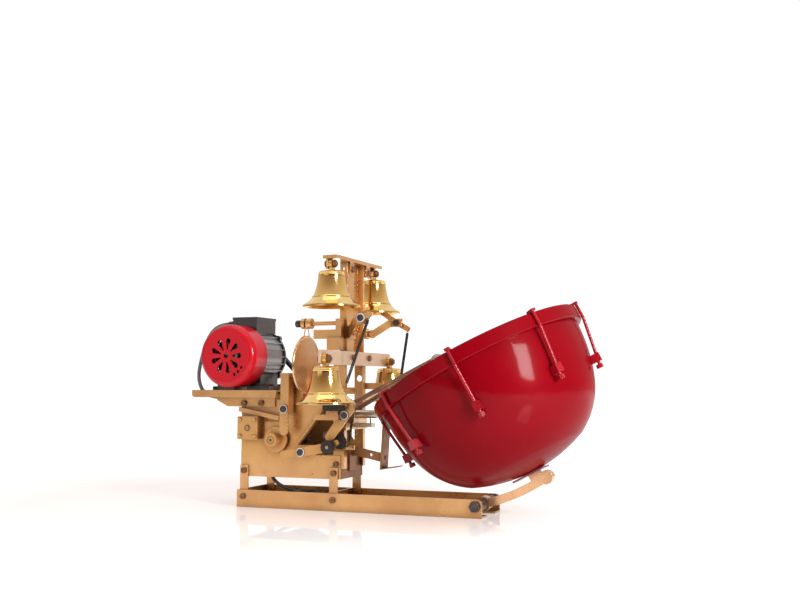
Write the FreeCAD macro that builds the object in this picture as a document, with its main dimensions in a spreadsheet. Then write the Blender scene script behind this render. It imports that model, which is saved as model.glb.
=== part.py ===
import FreeCAD, Part
import math
import os
import Sketcher
from FreeCAD import Placement, Rotation, Vector

# Motor driven bell, gong and drum machine.
# Frame: +Z up, +X toward the drum, -Y is the side that shows the levers.
# Origin: on the floor, middle of the underside of the left end cross angle.

os.makedirs("parts", exist_ok=True)
doc = FreeCAD.newDocument("bell_gong_drum_machine")
sheet = doc.addObject("Spreadsheet::Sheet", "Sizes")
sheet_rows = []
nodes = []


class Dim:
    """A size: its number, and the sheet expression that drives it."""

    def __init__(self, value, text=None):
        self.value = float(value)
        self.text = "(%.6f)" % self.value if text is None else text

    def __add__(self, other):
        other = dim(other)
        return Dim(self.value + other.value, "(%s + %s)" % (self.text, other.text))

    def __sub__(self, other):
        other = dim(other)
        return Dim(self.value - other.value, "(%s - %s)" % (self.text, other.text))

    def __mul__(self, other):
        other = dim(other)
        return Dim(self.value * other.value, "(%s * %s)" % (self.text, other.text))

    def __truediv__(self, other):
        other = dim(other)
        return Dim(self.value / other.value, "(%s / %s)" % (self.text, other.text))

    def __radd__(self, other):
        return dim(other) + self

    def __rsub__(self, other):
        return dim(other) - self

    def __rmul__(self, other):
        return dim(other) * self

    def __neg__(self):
        return Dim(-self.value, "(0 - %s)" % self.text)


def dim(value):
    return value if isinstance(value, Dim) else Dim(value)


def size(alias, value, note):
    """Write one driving size into the sheet."""
    row = len(sheet_rows) + 1
    sheet.set("A%d" % row, note)
    sheet.set("B%d" % row, str(value))
    sheet.setAlias("B%d" % row, alias)
    sheet_rows.append(alias)
    return Dim(value, "Sizes." + alias)


def dsin(angle):
    return Dim(math.sin(math.radians(angle.value)), "sin(%s)" % angle.text)


def dcos(angle):
    return Dim(math.cos(math.radians(angle.value)), "cos(%s)" % angle.text)


def dsqrt(value):
    return Dim(math.sqrt(value.value), "sqrt(%s)" % value.text)


def bind(thing, prop, value):
    """Give a property its value, and its expression when a sheet size drives it."""
    value = dim(value)
    if "Sizes." in value.text:
        thing.setExpression(prop, value.text)


def place(thing, at, turn=None):
    at = [dim(a) for a in at]
    base = Vector(at[0].value, at[1].value, at[2].value)
    thing.Placement = Placement(base, turn if turn is not None else Rotation())
    for axis, value in zip("xyz", at):
        bind(thing, "Placement.Base." + axis, value)


def keep(thing, label):
    """Label a finished piece and list it for export."""
    thing.Label = label
    nodes.append(thing)
    return thing


def about_y(angle):
    """Turn about +Y: carries +Z toward +X."""
    return Rotation(Vector(0, 1, 0), angle)


ALONG = {
    "+x": Rotation(Vector(0, 1, 0), 90),
    "-x": Rotation(Vector(0, 1, 0), -90),
    "+y": Rotation(Vector(1, 0, 0), -90),
    "-y": Rotation(Vector(1, 0, 0), 90),
    "+z": Rotation(),
    "-z": Rotation(Vector(1, 0, 0), 180),
}


def box(lx, ly, lz, at, turn=None):
    thing = doc.addObject("Part::Box", "Box")
    for prop, value in zip(("Length", "Width", "Height"), (lx, ly, lz)):
        setattr(thing, prop, dim(value).value)
        bind(thing, prop, value)
    place(thing, at, turn)
    return thing


def span(x0, x1, y0, y1, z0, z1):
    """Box between two corners."""
    return box(dim(x1) - x0, dim(y1) - y0, dim(z1) - z0, (x0, y0, z0))


def cyl(radius, length, at, way="+z"):
    thing = doc.addObject("Part::Cylinder", "Cylinder")
    thing.Radius = dim(radius).value
    thing.Height = dim(length).value
    bind(thing, "Radius", radius)
    bind(thing, "Height", length)
    turn = ALONG[way] if isinstance(way, str) else Rotation(Vector(0, 0, 1), way)
    place(thing, at, turn)
    return thing


def rod(radius, start, end):
    """Round rod between two points."""
    a = Vector(*[dim(c).value for c in start])
    b = Vector(*[dim(c).value for c in end])
    return cyl(radius, (b - a).Length, start, b - a)


def ball(radius, at):
    thing = doc.addObject("Part::Sphere", "Sphere")
    thing.Radius = dim(radius).value
    bind(thing, "Radius", radius)
    place(thing, at)
    return thing


def hexagon(radius, length, at, way):
    thing = doc.addObject("Part::Prism", "Hexagon")
    thing.Polygon = 6
    thing.Circumradius = dim(radius).value
    thing.Height = dim(length).value
    bind(thing, "Circumradius", radius)
    bind(thing, "Height", length)
    place(thing, at, ALONG[way])
    return thing


def fuse(*things):
    thing = doc.addObject("Part::MultiFuse", "Fusion")
    thing.Shapes = list(things)
    thing.Refine = True
    return thing


def gather(*things):
    """Several loose solids kept in one node."""
    thing = doc.addObject("Part::Compound", "Set")
    thing.Links = list(things)
    return thing


def cut(base, *tools):
    thing = doc.addObject("Part::Cut", "Cut")
    thing.Base = base
    thing.Tool = tools[0] if len(tools) == 1 else gather(*tools)
    return thing


def common(one, other):
    thing = doc.addObject("Part::Common", "Common")
    thing.Base = one
    thing.Tool = other
    return thing


def free_shape(shape, at=(0, 0, 0), turn=None):
    """Piece whose form comes straight from Part functions."""
    thing = doc.addObject("Part::Feature", "Form")
    thing.Shape = shape
    place(thing, at, turn)
    return thing


def new_sketch(body, plane):
    sketch = body.newObject("Sketcher::SketchObject", "Sketch")
    for datum in body.Origin.OriginFeatures:
        if datum.Role == plane:
            sketch.AttachmentSupport = (datum, [""])
    sketch.MapMode = "FlatFace"
    return sketch


def arc_through(a, middle, b):
    """Counter clockwise arc through three points, and whether it runs from a to b."""
    cross = (b - a).cross(middle - a).z
    square_m = (middle - a).Length ** 2
    square_b = (b - a).Length ** 2
    to_m = middle - a
    to_b = b - a
    centre = a + Vector((square_b * to_m.y - square_m * to_b.y) / (2 * cross),
                        (square_m * to_b.x - square_b * to_m.x) / (2 * cross), 0)
    forward = cross < 0
    start, end = (a, b) if forward else (b, a)
    angle_start = math.atan2(start.y - centre.y, start.x - centre.x)
    angle_end = math.atan2(end.y - centre.y, end.x - centre.x)
    if angle_end <= angle_start:
        angle_end += 2 * math.pi
    circle = Part.Circle(centre, Vector(0, 0, 1), (a - centre).Length)
    return Part.ArcOfCircle(circle, angle_start, angle_end), forward


def draw_loop(sketch, points):
    """Closed outline. A point is (a, b), or (a, b, via_a, via_b) when an arc leads to it."""
    first = sketch.GeometryCount
    count = len(points)
    curves = []
    ends = []
    rules = []
    for index in range(count):
        start = points[index]
        end = points[(index + 1) % count]
        a = Vector(dim(start[0]).value, dim(start[1]).value, 0)
        b = Vector(dim(end[0]).value, dim(end[1]).value, 0)
        forward = True
        curve = Part.LineSegment(a, b)
        if len(end) == 4:
            middle = Vector(dim(end[2]).value, dim(end[3]).value, 0)
            curve, forward = arc_through(a, middle, b)
            # an arc with fixed ends is held by the centre coordinate that runs across its chord
            upright = abs(b.y - a.y) > abs(b.x - a.x)
            held = curve.Center.x if upright else curve.Center.y
            rules.append(("DistanceX" if upright else "DistanceY", first + index, 3, dim(held)))
        curves.append(curve)
        ends.append((1, 2) if forward else (2, 1))
        for kind, value in zip(("DistanceX", "DistanceY"), start[:2]):
            rules.append((kind, first + index, ends[index][0], dim(value)))
    sketch.addGeometry(curves, False)
    joins = []
    for index in range(count):
        after = (index + 1) % count
        joins.append(Sketcher.Constraint("Coincident", first + index, ends[index][1],
                                         first + after, ends[after][0]))
    sketch.addConstraint(joins)
    row = sketch.ConstraintCount
    sketch.addConstraint([Sketcher.Constraint(kind, -1, 1, curve, spot, value.value)
                          for kind, curve, spot, value in rules])
    for number, rule in enumerate(rules):
        bind(sketch, "Constraints[%d]" % (row + number), rule[3])


def draw_circle(sketch, a, b, radius):
    number = sketch.addGeometry(
        Part.Circle(Vector(dim(a).value, dim(b).value, 0), Vector(0, 0, 1), dim(radius).value), False)
    for kind, value in zip(("DistanceX", "DistanceY"), (a, b)):
        row = sketch.addConstraint(Sketcher.Constraint(kind, -1, 1, number, 3, dim(value).value))
        bind(sketch, "Constraints[%d]" % row, value)
    row = sketch.addConstraint(Sketcher.Constraint("Radius", number, dim(radius).value))
    bind(sketch, "Constraints[%d]" % row, radius)


def padded(plane, outline, thick, at=(0, 0, 0), holes=(), turn=None):
    """Plate or section: a sketched outline with round holes, padded."""
    body = doc.addObject("PartDesign::Body", "Body")
    sketch = new_sketch(body, plane)
    draw_loop(sketch, outline)
    for hole in holes:
        draw_circle(sketch, *hole)
    pad = body.newObject("PartDesign::Pad", "Pad")
    pad.Profile = sketch
    pad.Length = dim(thick).value
    bind(pad, "Length", thick)
    sketch.Visibility = False
    place(body, at, turn)
    doc.recompute()
    return body


def plate_y(outline, y_low, y_high, holes=()):
    """Plate square to Y between two faces; its outline is drawn in X and Z."""
    return padded("XZ_Plane", outline, dim(y_high) - y_low, (0, y_high, 0), holes)


def plate_x(outline, x_low, x_high, holes=()):
    """Plate square to X; its outline is drawn in Y and Z."""
    return padded("YZ_Plane", outline, dim(x_high) - x_low, (x_low, 0, 0), holes)


def turned(outline, at=(0, 0, 0), way="+z", turn=None):
    """Turned piece: half section in radius and height, revolved about its own Z."""
    body = doc.addObject("PartDesign::Body", "Body")
    sketch = new_sketch(body, "XZ_Plane")
    draw_loop(sketch, outline)
    solid = body.newObject("PartDesign::Revolution", "Revolution")
    solid.Profile = sketch
    solid.ReferenceAxis = (sketch, ["V_Axis"])
    solid.Angle = 360
    place(body, at, turn if turn is not None else ALONG[way])
    doc.recompute()
    return body


def round_edges(body, radius, wanted):
    """Round the edges of a body's tip that the test picks out."""
    tip = body.Tip
    names = []
    for number, edge in enumerate(tip.Shape.Edges, 1):
        if wanted(edge):
            names.append("Edge%d" % number)
    rounding = body.newObject("PartDesign::Fillet", "Fillet")
    rounding.Base = (tip, names)
    rounding.Radius = dim(radius).value
    bind(rounding, "Radius", radius)
    doc.recompute()
    return body


def at_corner(a, b, axes):
    """Edge test: both ends stand at one corner of the outline."""
    goal = (dim(a).value, dim(b).value)

    def test(edge):
        for vertex in (edge.Vertexes[0], edge.Vertexes[-1]):
            point = vertex.Point
            if abs(getattr(point, axes[0]) - goal[0]) > 0.02:
                return False
            if abs(getattr(point, axes[1]) - goal[1]) > 0.02:
                return False
        return len(edge.Vertexes) == 2
    return test


def bar_link(start, end, width, y_low, y_high, holes=()):
    """Flat link with round ends, square to Y, from one centre to the other."""
    x0, z0, x1, z1 = [dim(v) for v in (start[0], start[1], end[0], end[1])]
    half = dim(width) / 2
    length = dsqrt((x1 - x0) * (x1 - x0) + (z1 - z0) * (z1 - z0))
    reach_x = (x1 - x0) / length * half
    reach_z = (z1 - z0) / length * half
    outline = [(x0 - reach_z, z0 + reach_x, x0 - reach_x, z0 - reach_z),
               (x1 - reach_z, z1 + reach_x),
               (x1 + reach_z, z1 - reach_x, x1 + reach_x, z1 + reach_z),
               (x0 + reach_z, z0 - reach_x)]
    return plate_y(outline, y_low, y_high, holes)


# ---------------------------------------------------------------- driving sizes
# angle iron base
rail_width = size("rail_width", 32, "leg of the base angle")
rail_thick = size("rail_thick", 3, "wall of the base angle")
frame_half = size("frame_half", 56, "outer face of a rail from the middle")
rail_left = size("rail_left", -16, "left end of the rails")
rail_right = size("rail_right", 466, "right end of the rails")
corner_round = size("corner_round", 8, "rounded end corner of a rail")
cross_left = size("cross_left", 172, "left face of the middle cross angle")
# legs and enclosure
leg_width = size("leg_width", 17, "width of a leg bar")
leg_thick = size("leg_thick", 3, "thickness of a leg bar")
leg_top = size("leg_top", 78, "top of the leg bars")
box_left = size("box_left", -11, "left side of the enclosure")
box_right = size("box_right", 196, "right side of the enclosure")
box_bottom = size("box_bottom", 57, "underside of the enclosure")
box_top = size("box_top", 201, "top of the enclosure plates")
plate_wall = size("plate_wall", 2, "sheet thickness of the enclosure")
sill_top = size("sill_top", 100, "top of the low right part of the enclosure")
# fasteners
bolt_rod = size("bolt_rod", 3, "shank radius of the frame bolts")
bolt_head = size("bolt_head", 5.6, "circumradius of the bolt heads")
bolt_cap = size("bolt_cap", 4, "height of a bolt head")
bolt_gap = size("bolt_gap", 0.15, "radial clearance of a bolt in its hole")
# shafts and gears
shaft_rod = size("shaft_rod", 6, "radius of the shafts")
shaft_fit = size("shaft_fit", 0.06, "radial running clearance of a shaft")
cam_x = size("cam_x", 67, "cam shaft centre along X")
cam_z = size("cam_z", 127, "cam shaft centre height")
tooth_module = size("tooth_module", 2, "module of the gear pair")
wheel_teeth = size("wheel_teeth", 40, "teeth of the wheel on the cam shaft")
pinion_teeth = size("pinion_teeth", 18, "teeth of the pinion on the lay shaft")
mesh_angle = size("mesh_angle", 158.6, "direction from cam shaft to lay shaft")
gear_wide = size("gear_wide", 12, "face width of the gears")
disc_round = size("disc_round", 23.5, "radius of the crank disc")
hub_round = size("hub_round", 12.5, "radius of the crank disc hub")
pulley_big = size("pulley_big", 76, "outer radius of the driven pulley")
pulley_small = size("pulley_small", 30, "outer radius of the motor pulley")
pulley_wide = size("pulley_wide", 18, "width of the pulleys")
belt_mid = size("belt_mid", 69, "belt centre line along Y")
belt_drop = size("belt_drop", 1.5, "pitch line below the pulley rim")
belt_top = size("belt_top", 12, "width of the belt across its top")
belt_deep = size("belt_deep", 7.5, "depth of the belt section")
belt_gap = size("belt_gap", 0.3, "space between belt and groove")
block_half = size("block_half", 21.5, "half side of the square bearing block")
block_deep = size("block_deep", 20, "depth of the near bearing block")
# platform and motor
deck_left = size("deck_left", -106, "left end of the motor platform")
deck_right = size("deck_right", 76, "right end of the motor platform")
deck_front = size("deck_front", -75, "front face of the motor platform")
deck_back = size("deck_back", 60, "rear face of the motor platform")
deck_top = size("deck_top", 218.6, "top of the motor platform")
deck_wall = size("deck_wall", 3, "sheet thickness of the platform")
deck_lip = size("deck_lip", 13.6, "depth of the platform's folded edge")
motor_x = size("motor_x", -24.6, "motor axis along X")
motor_rise = size("motor_rise", 64.4, "motor axis above the platform")
motor_round = size("motor_round", 54, "radius over the cooling ribs")
motor_core = size("motor_core", 50.5, "radius below the cooling ribs")
motor_front = size("motor_front", -38, "front end of the ribbed body")
motor_back = size("motor_back", 46, "rear end of the ribbed body")
cowl_round = size("cowl_round", 59.5, "outer radius of the fan cowl")
cowl_face = size("cowl_face", 49, "radius of the flat cowl face")
cowl_long = size("cowl_long", 54, "length of the fan cowl")
cowl_bevel = size("cowl_bevel", 14, "depth of the cowl's sloping rim")
cowl_wall = size("cowl_wall", 2.4, "wall of the cowl")
cowl_slots = size("cowl_slots", 9, "number of cowl slots")
# tower
post_half = size("post_half", 48, "outer face of a lower post from the middle")
post_left = size("post_left", 181, "left edge of the lower posts")
tower_x = size("tower_x", 203, "right face of the tower angles")
tower_wall = size("tower_wall", 3, "wall of the tower angles")
mast_half = size("mast_half", 37, "flange of a mast from the middle")
mast_web = size("mast_web", 30, "web of a mast angle")
mast_wide = size("mast_wide", 15, "flange of a mast angle")
bar_low = size("bar_low", 264.5, "underside of the middle bar")
bar_high = size("bar_high", 290, "top of the middle bar")
bar_thick = size("bar_thick", 5, "thickness of the middle bar")
bar_reach = size("bar_reach", 158, "half length of the middle bar")
beam_low = size("beam_low", 455.5, "underside of the top beam")
beam_thick = size("beam_thick", 6.5, "thickness of the top beam")
beam_reach = size("beam_reach", 104, "half length of the top beam")
# bells
bell_mouth = size("bell_mouth", 52.5, "radius of a bell's mouth")
bell_drop = size("bell_drop", 79, "hanging bolt to bell lip")
bell_shoulder = size("bell_shoulder", 23, "radius of a bell's shoulder")
bell_wall = size("bell_wall", 3, "wall of a bell")
bell_eye = size("bell_eye", 9, "outer radius of the hanging eye")
bell_eye_wide = size("bell_eye_wide", 7, "thickness of the hanging eye")
bell_rod = size("bell_rod", 4, "radius of a hanging bolt")
high_bell_y = size("high_bell_y", 95, "upper bells from the middle")
high_bell_x = size("high_bell_x", 198.5, "upper bells along X")
high_bell_z = size("high_bell_z", 446.5, "upper hanging bolts height")
low_bell_y = size("low_bell_y", 145, "lower bells from the middle")
low_bell_z = size("low_bell_z", 274, "lower hanging bolts height")
# gong
gong_x = size("gong_x", 126, "gong disc along X")
gong_y = size("gong_y", -50, "gong disc along Y")
gong_z = size("gong_z", 265, "gong centre height")
gong_round = size("gong_round", 54, "radius of the gong")
gong_wall = size("gong_wall", 2.6, "thickness of the gong")
hanger_z = size("hanger_z", 342, "gong hanger rod height")
hanger_rod = size("hanger_rod", 4, "radius of the gong hanger rod")
# levers
lever_face = size("lever_face", -66, "rear face of the front levers")
lever_thick = size("lever_thick", 4, "thickness of the flat levers")
gong_lever_x = size("gong_lever_x", 94.3, "gong lever pivot along X")
gong_lever_z = size("gong_lever_z", 184, "gong lever pivot height")
low_lever_x = size("low_lever_x", 128, "lower lever pivot along X")
low_lever_z = size("low_lever_z", 106, "lower lever pivot height")
right_lever_x = size("right_lever_x", 213, "right lever pivot along X")
right_lever_z = size("right_lever_z", 173.4, "right lever pivot height")
pin_rod = size("pin_rod", 4, "radius of the lever pins")
hammer_x = size("hammer_x", 253, "upper hammer pivots along X")
hammer_y = size("hammer_y", 87, "upper hammer levers from the middle")
hammer_z = size("hammer_z", 348, "upper hammer pivots height")
hammer_ball = size("hammer_ball", 7, "radius of a hammer ball")
spring_round = size("spring_round", 3, "outer radius of the long springs")
beater_x = size("beater_x", 192, "beater shaft along X")
beater_z = size("beater_z", 172, "beater shaft height")
beater_y = size("beater_y", 18, "beater sticks from the middle")
stick_round = size("stick_round", 4.5, "radius of a beater stick")
# drum
drum_x = size("drum_x", 437.5, "centre of the drum rim along X")
drum_z = size("drum_z", 274, "centre of the drum rim height")
drum_tilt = size("drum_tilt", 28, "lean of the drum axis")
hoop_round = size("hoop_round", 201, "outer radius of the hoop")
hoop_high = size("hoop_high", 25, "height of the hoop")
shell_round = size("shell_round", 191, "outer radius of the drum shell")
shell_deep = size("shell_deep", 222, "depth of the bowl below the rim")
shell_wall = size("shell_wall", 1.6, "wall of the drum shell")
hook_count = size("hook_count", 8, "number of tension hooks")
hook_rod = size("hook_rod", 2.8, "radius of a tension hook")
arm_x = size("arm_x", 454, "drum arm pivot along X")
arm_z = size("arm_z", 20, "drum arm pivot height")
arm_wide = size("arm_wide", 20, "width of the drum arm")
arm_high = size("arm_high", 15, "depth of the drum arm")
arm_rod = size("arm_rod", 6, "radius of the drum pivot bolt")
# leads
lead_round = size("lead_round", 3.2, "radius of the mains lead")
doc.recompute()

frame_bolts = []
pins = []


def opposite(way):
    return ("-" if way[0] == "+" else "+") + way[1]


def shifted(at, way, amount):
    """Point moved along one of the six directions."""
    number = "xyz".index(way[1])
    moved = list(at)
    moved[number] = dim(moved[number]) + (dim(amount) if way[0] == "+" else -dim(amount))
    return tuple(moved)


def bolt(at, way, grip, rod_size=None, head=None, cap=None):
    """Hexagon bolt: head against the face at the point, shank along the way, nut past the grip."""
    rod_size = bolt_rod if rod_size is None else rod_size
    head = bolt_head if head is None else head
    cap = bolt_cap if cap is None else cap
    head_piece = hexagon(head, cap, at, opposite(way))
    shank = cyl(rod_size, dim(grip) + cap + 2, at, way)
    nut = hexagon(head, cap, shifted(at, way, grip), way)
    return fuse(head_piece, shank, nut)


def bore(at, way, length, radius=None):
    """Drill for a bolt, with its clearance."""
    radius = (bolt_rod if radius is None else radius) + bolt_gap
    return cyl(radius, length, at, way)


# ---------------------------------------------------------------- base frame
def rail(sign):
    outer = frame_half * sign
    inner = (frame_half - rail_thick) * sign
    toe = (frame_half - rail_width) * sign
    section = [(outer, 0), (outer, rail_width), (inner, rail_width),
               (inner, rail_thick), (toe, rail_thick), (toe, 0)]
    body = padded("YZ_Plane", section, rail_right - rail_left, (rail_left, 0, 0))
    return round_edges(body, corner_round, at_corner(rail_right - rail_left, rail_width, "xz"))


def cross_angle(left):
    web_half = frame_half - rail_thick
    toe_half = frame_half - rail_width
    web = span(left, left + rail_thick, -web_half, web_half, rail_thick, rail_width)
    foot = span(left, left + rail_width, -toe_half, toe_half, 0, rail_thick)
    return fuse(web, foot)


leg_places = (box_left, cross_left + rail_thick + 0.2)
leg_hole_z = size("leg_hole_z", 20, "height of the lower leg bolts")
leg_bolt_z = size("leg_bolt_z", 68, "height of the upper leg bolts")
box_half = frame_half - rail_thick - leg_thick
through = 2 * frame_half + 20
drills = [bore((arm_x, -frame_half - 10, arm_z), "+y", through, arm_rod)]
for leg_x in leg_places:
    drills.append(bore((leg_x + leg_width / 2, -frame_half - 10, leg_hole_z), "+y", through))
base_frame = keep(cut(fuse(rail(-1), rail(1), cross_angle(rail_left), cross_angle(cross_left)),
                      *drills), "base_frame")

legs = []
for leg_x in leg_places:
    for sign in (-1, 1):
        low_y = -frame_half + rail_thick if sign < 0 else box_half
        bar = span(leg_x, leg_x + leg_width, low_y, low_y + leg_thick, rail_thick, leg_top)
        middle = leg_x + leg_width / 2
        holes = [bore((middle, low_y - 1, z), "+y", leg_thick + 2) for z in (leg_hole_z, leg_bolt_z)]
        legs.append(cut(bar, *holes))
        way = "+y" if sign < 0 else "-y"
        frame_bolts.append(bolt((middle, frame_half * sign, leg_hole_z), way, rail_thick + leg_thick))
        frame_bolts.append(bolt((middle, (frame_half - rail_thick) * sign, leg_bolt_z), way,
                                leg_thick + plate_wall))
keep(gather(*legs), "legs")

# ---------------------------------------------------------------- enclosure
centre_gap = tooth_module * (wheel_teeth + pinion_teeth) / 2
lay_x = cam_x + centre_gap * dcos(mesh_angle)
lay_z = cam_z + centre_gap * dsin(mesh_angle)
box_inner = box_half - plate_wall
tongue_left = size("tongue_left", 92, "left edge of the upstand")
tongue_right = size("tongue_right", 119, "right edge of the upstand")
tongue_top = size("tongue_top", 243, "top of the upstand")
slope_foot = size("slope_foot", 112, "foot of the sloping edge along X")
slope_foot_z = size("slope_foot_z", 118, "foot of the sloping edge, height")
slope_head = size("slope_head", 174, "head of the sloping edge along X")
slope_head_z = size("slope_head_z", 194, "head of the sloping edge, height")
ear_right = size("ear_right", 146, "right edge of the lower pivot ear")
fold_wide = size("fold_wide", 8, "width of the folded edge")
big_bore = shaft_rod + 2

front_outline = [(box_left, box_bottom), (box_right, box_bottom), (box_right, sill_top),
                 (ear_right, sill_top), (ear_right, slope_foot_z), (slope_foot, slope_foot_z),
                 (slope_head, slope_head_z), (slope_head, box_top), (tongue_right, box_top),
                 (tongue_right, tongue_top), (tongue_left, tongue_top), (tongue_left, box_top),
                 (box_left, box_top)]
gusset_bolts_x = (size("gusset_bolt_a", -4, "first gusset bolt along X"),
                  size("gusset_bolt_b", 33, "second gusset bolt along X"))
gusset_bolt_z = size("gusset_bolt_z", 194.5, "gusset bolts height")
shared_holes = [(cam_x, cam_z, big_bore), (lay_x, lay_z, big_bore)]
for leg_x in leg_places:
    shared_holes.append((leg_x + leg_width / 2, leg_bolt_z, bolt_rod + bolt_gap))
for bolt_x in gusset_bolts_x:
    shared_holes.append((bolt_x, gusset_bolt_z, bolt_rod + bolt_gap))
post_bolt_z = size("post_bolt_z", 84, "lower post bolts height")
post_mid = (post_left + box_right) / 2 - 1
shared_holes.append((post_mid, post_bolt_z, bolt_rod + bolt_gap))
tongue_bolt_x = size("tongue_bolt_x", 107, "upstand bolt along X")
tongue_bolt_z = size("tongue_bolt_z", 228, "upstand bolt height")
front_holes = shared_holes + [(gong_lever_x, gong_lever_z, pin_rod + bolt_gap),
                              (low_lever_x, low_lever_z, pin_rod + bolt_gap),
                              (tongue_bolt_x, tongue_bolt_z, bolt_rod + bolt_gap),
                              (size("drain_x", 140, "small hole along X"),
                               size("drain_z", 64.3, "small hole height"), 1.6)]
front_plate = plate_y(front_outline, -box_half, -box_inner, front_holes)
run_x = slope_head.value - slope_foot.value
run_z = slope_head_z.value - slope_foot_z.value
slope_long = math.hypot(run_x, run_z)
slope_angle = -math.degrees(math.atan2(run_z, run_x))
slope_fold = box(slope_long, fold_wide, plate_wall, (slope_foot, -box_half - fold_wide, slope_foot_z),
                 about_y(slope_angle))
rib_left_z = size("rib_left_z", 182.8, "slanted rib at its left end, height")
rib_right_z = size("rib_right_z", 166.8, "slanted rib at its right end, height")
rib_right = size("rib_right", 74, "right end of the slanted rib")
rib_deep = size("rib_deep", 12, "how far the slanted rib stands out")
rib_run = rib_right.value - box_left.value
rib_fall = rib_left_z.value - rib_right_z.value
rib_angle = math.degrees(math.atan2(rib_fall, rib_run))
rib_long = math.hypot(rib_run, rib_fall)
rib_lip = box(rib_long, rib_deep, plate_wall, (box_left, -box_half - rib_deep, rib_left_z + 2),
              about_y(rib_angle))
rib_face = box(rib_long, plate_wall, 8, (box_left, -box_half - rib_deep, rib_left_z - 4),
               about_y(rib_angle))
rib_under = box(rib_long, rib_deep, plate_wall, (box_left, -box_half - rib_deep, rib_left_z - 4),
                about_y(rib_angle))
keep(fuse(front_plate, slope_fold, rib_lip, rib_face, rib_under), "box_front_plate")

back_outline = [(box_left, box_bottom), (box_right, box_bottom), (box_right, sill_top),
                (slope_head, sill_top + 30), (slope_head, box_top), (box_left, box_top)]
keep(plate_y(back_outline, box_inner, box_half, shared_holes), "box_back_plate")

left_panel = span(box_left, box_left + plate_wall, -box_inner, box_inner, box_bottom, box_top - 10)
panel_half = post_half - tower_wall
right_panel = span(box_right - plate_wall, box_right, -panel_half, panel_half, box_bottom, sill_top)
right_fold = span(box_right - 20, box_right - plate_wall, -panel_half, panel_half,
                  box_bottom, box_bottom + plate_wall)
left_fold = span(box_left + plate_wall, box_left + 14, -box_inner, box_inner,
                 box_bottom, box_bottom + plate_wall)
keep(gather(fuse(left_panel, left_fold), fuse(right_panel, right_fold)), "box_ends")

# bearing blocks, near and far, for both shafts
boss_round = size("boss_round", 14, "radius of a shaft boss")
boss_thick = size("boss_thick", 4, "thickness of the cam shaft plate")
rear_boss = size("rear_boss", 6, "depth of the rear bearings")
shaft_bore = shaft_rod + shaft_fit


def square_block(y_low, y_high, screw_face, screw_way):
    outline = [(lay_x - block_half, lay_z - block_half), (lay_x + block_half, lay_z - block_half),
               (lay_x + block_half, lay_z + block_half), (lay_x - block_half, lay_z + block_half)]
    block = plate_y(outline, y_low, y_high, [(lay_x, lay_z, shaft_bore)])
    round_edges(block, 2, lambda edge: abs(abs(edge.Vertexes[0].Point.y - edge.Vertexes[-1].Point.y)
                                           - (dim(y_high) - y_low).value) < 0.01
                and abs(edge.Vertexes[0].Point.x - lay_x.value) > block_half.value - 1)
    heads = []
    for dx in (-1, 1):
        for dz in (-1, 1):
            heads.append(cyl(3.2, 3, (lay_x + dx * (block_half - 6), screw_face,
                                      lay_z + dz * (block_half - 6)), screw_way))
    return fuse(block, *heads)


def cam_bearing(y_low, y_high):
    left = cam_x - 26
    outline = [(left, cam_z - boss_round), (cam_x + 8, cam_z - boss_round),
               (cam_x + 8, cam_z + 33), (left, cam_z + 33)]
    slab = plate_y(outline, y_low, y_high)
    ring = cyl(boss_round, dim(y_high) - y_low, (cam_x, y_low, cam_z), "+y")
    hole = cyl(shaft_bore, dim(y_high) - y_low + 2, (cam_x, dim(y_low) - 1, cam_z), "+y")
    return cut(fuse(slab, ring), hole)


keep(gather(square_block(-box_half - block_deep, -box_half, -box_half - block_deep, "-y"),
            square_block(box_half, box_half + rear_boss, box_half + rear_boss, "+y"),
            cam_bearing(-box_half - boss_thick, -box_half),
            cam_bearing(box_half, box_half + rear_boss)), "bearing_blocks")

# ---------------------------------------------------------------- shafts and gears
gear_low = size("gear_low", -12, "front face of the gears")


def gear_shape(teeth, module, wide, bore_radius, turn):
    """Spur gear with involute flanks, three points to a flank."""
    pitch = module * teeth / 2.0
    base = pitch * math.cos(math.radians(20))
    tip = pitch + module
    root = pitch - 1.25 * module
    half_tooth = math.pi / (2 * teeth) - 0.12 / pitch
    at_pitch = math.tan(math.radians(20)) - math.radians(20)
    points = []
    for tooth in range(teeth):
        middle = turn + tooth * 2 * math.pi / teeth
        flank = []
        for radius in (max(base, root), (base + tip) / 2, tip):
            pressure = math.acos(min(1.0, base / radius))
            lean = half_tooth + at_pitch - (math.tan(pressure) - pressure)
            flank.append((radius, lean))
        foot = half_tooth + at_pitch
        side = [(root, foot)] + flank
        for radius, lean in side:
            points.append(Vector(radius * math.cos(middle - lean), 0, radius * math.sin(middle - lean)))
        for radius, lean in reversed(side):
            points.append(Vector(radius * math.cos(middle + lean), 0, radius * math.sin(middle + lean)))
    points.append(points[0])
    face = Part.Face(Part.makePolygon(points))
    solid = face.extrude(Vector(0, wide, 0))
    return solid.cut(Part.makeCylinder(bore_radius, wide + 2, Vector(0, -1, 0), Vector(0, 1, 0)))


mesh = math.radians(mesh_angle.value)
tooth_count = int(round(wheel_teeth.value))
small_count = int(round(pinion_teeth.value))
wheel = gear_shape(tooth_count, tooth_module.value, gear_wide.value, shaft_bore.value, mesh)
wheel_hub = Part.makeCylinder(hub_round.value, 8, Vector(0, gear_wide.value, 0), Vector(0, 1, 0))
wheel_hub = wheel_hub.cut(Part.makeCylinder(shaft_bore.value, 12, Vector(0, gear_wide.value - 2, 0),
                                            Vector(0, 1, 0)))
windows = []
for number in range(5):
    angle = mesh + number * 2 * math.pi / 5
    spot = Vector(25 * math.cos(angle), -1, 25 * math.sin(angle))
    windows.append(Part.makeCylinder(7, gear_wide.value + 2, spot, Vector(0, 1, 0)))
keep(free_shape(wheel.cut(windows).fuse(wheel_hub).removeSplitter(), (cam_x, gear_low, cam_z)), "cam_gear")
facing = mesh + math.pi + math.pi / small_count
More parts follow.
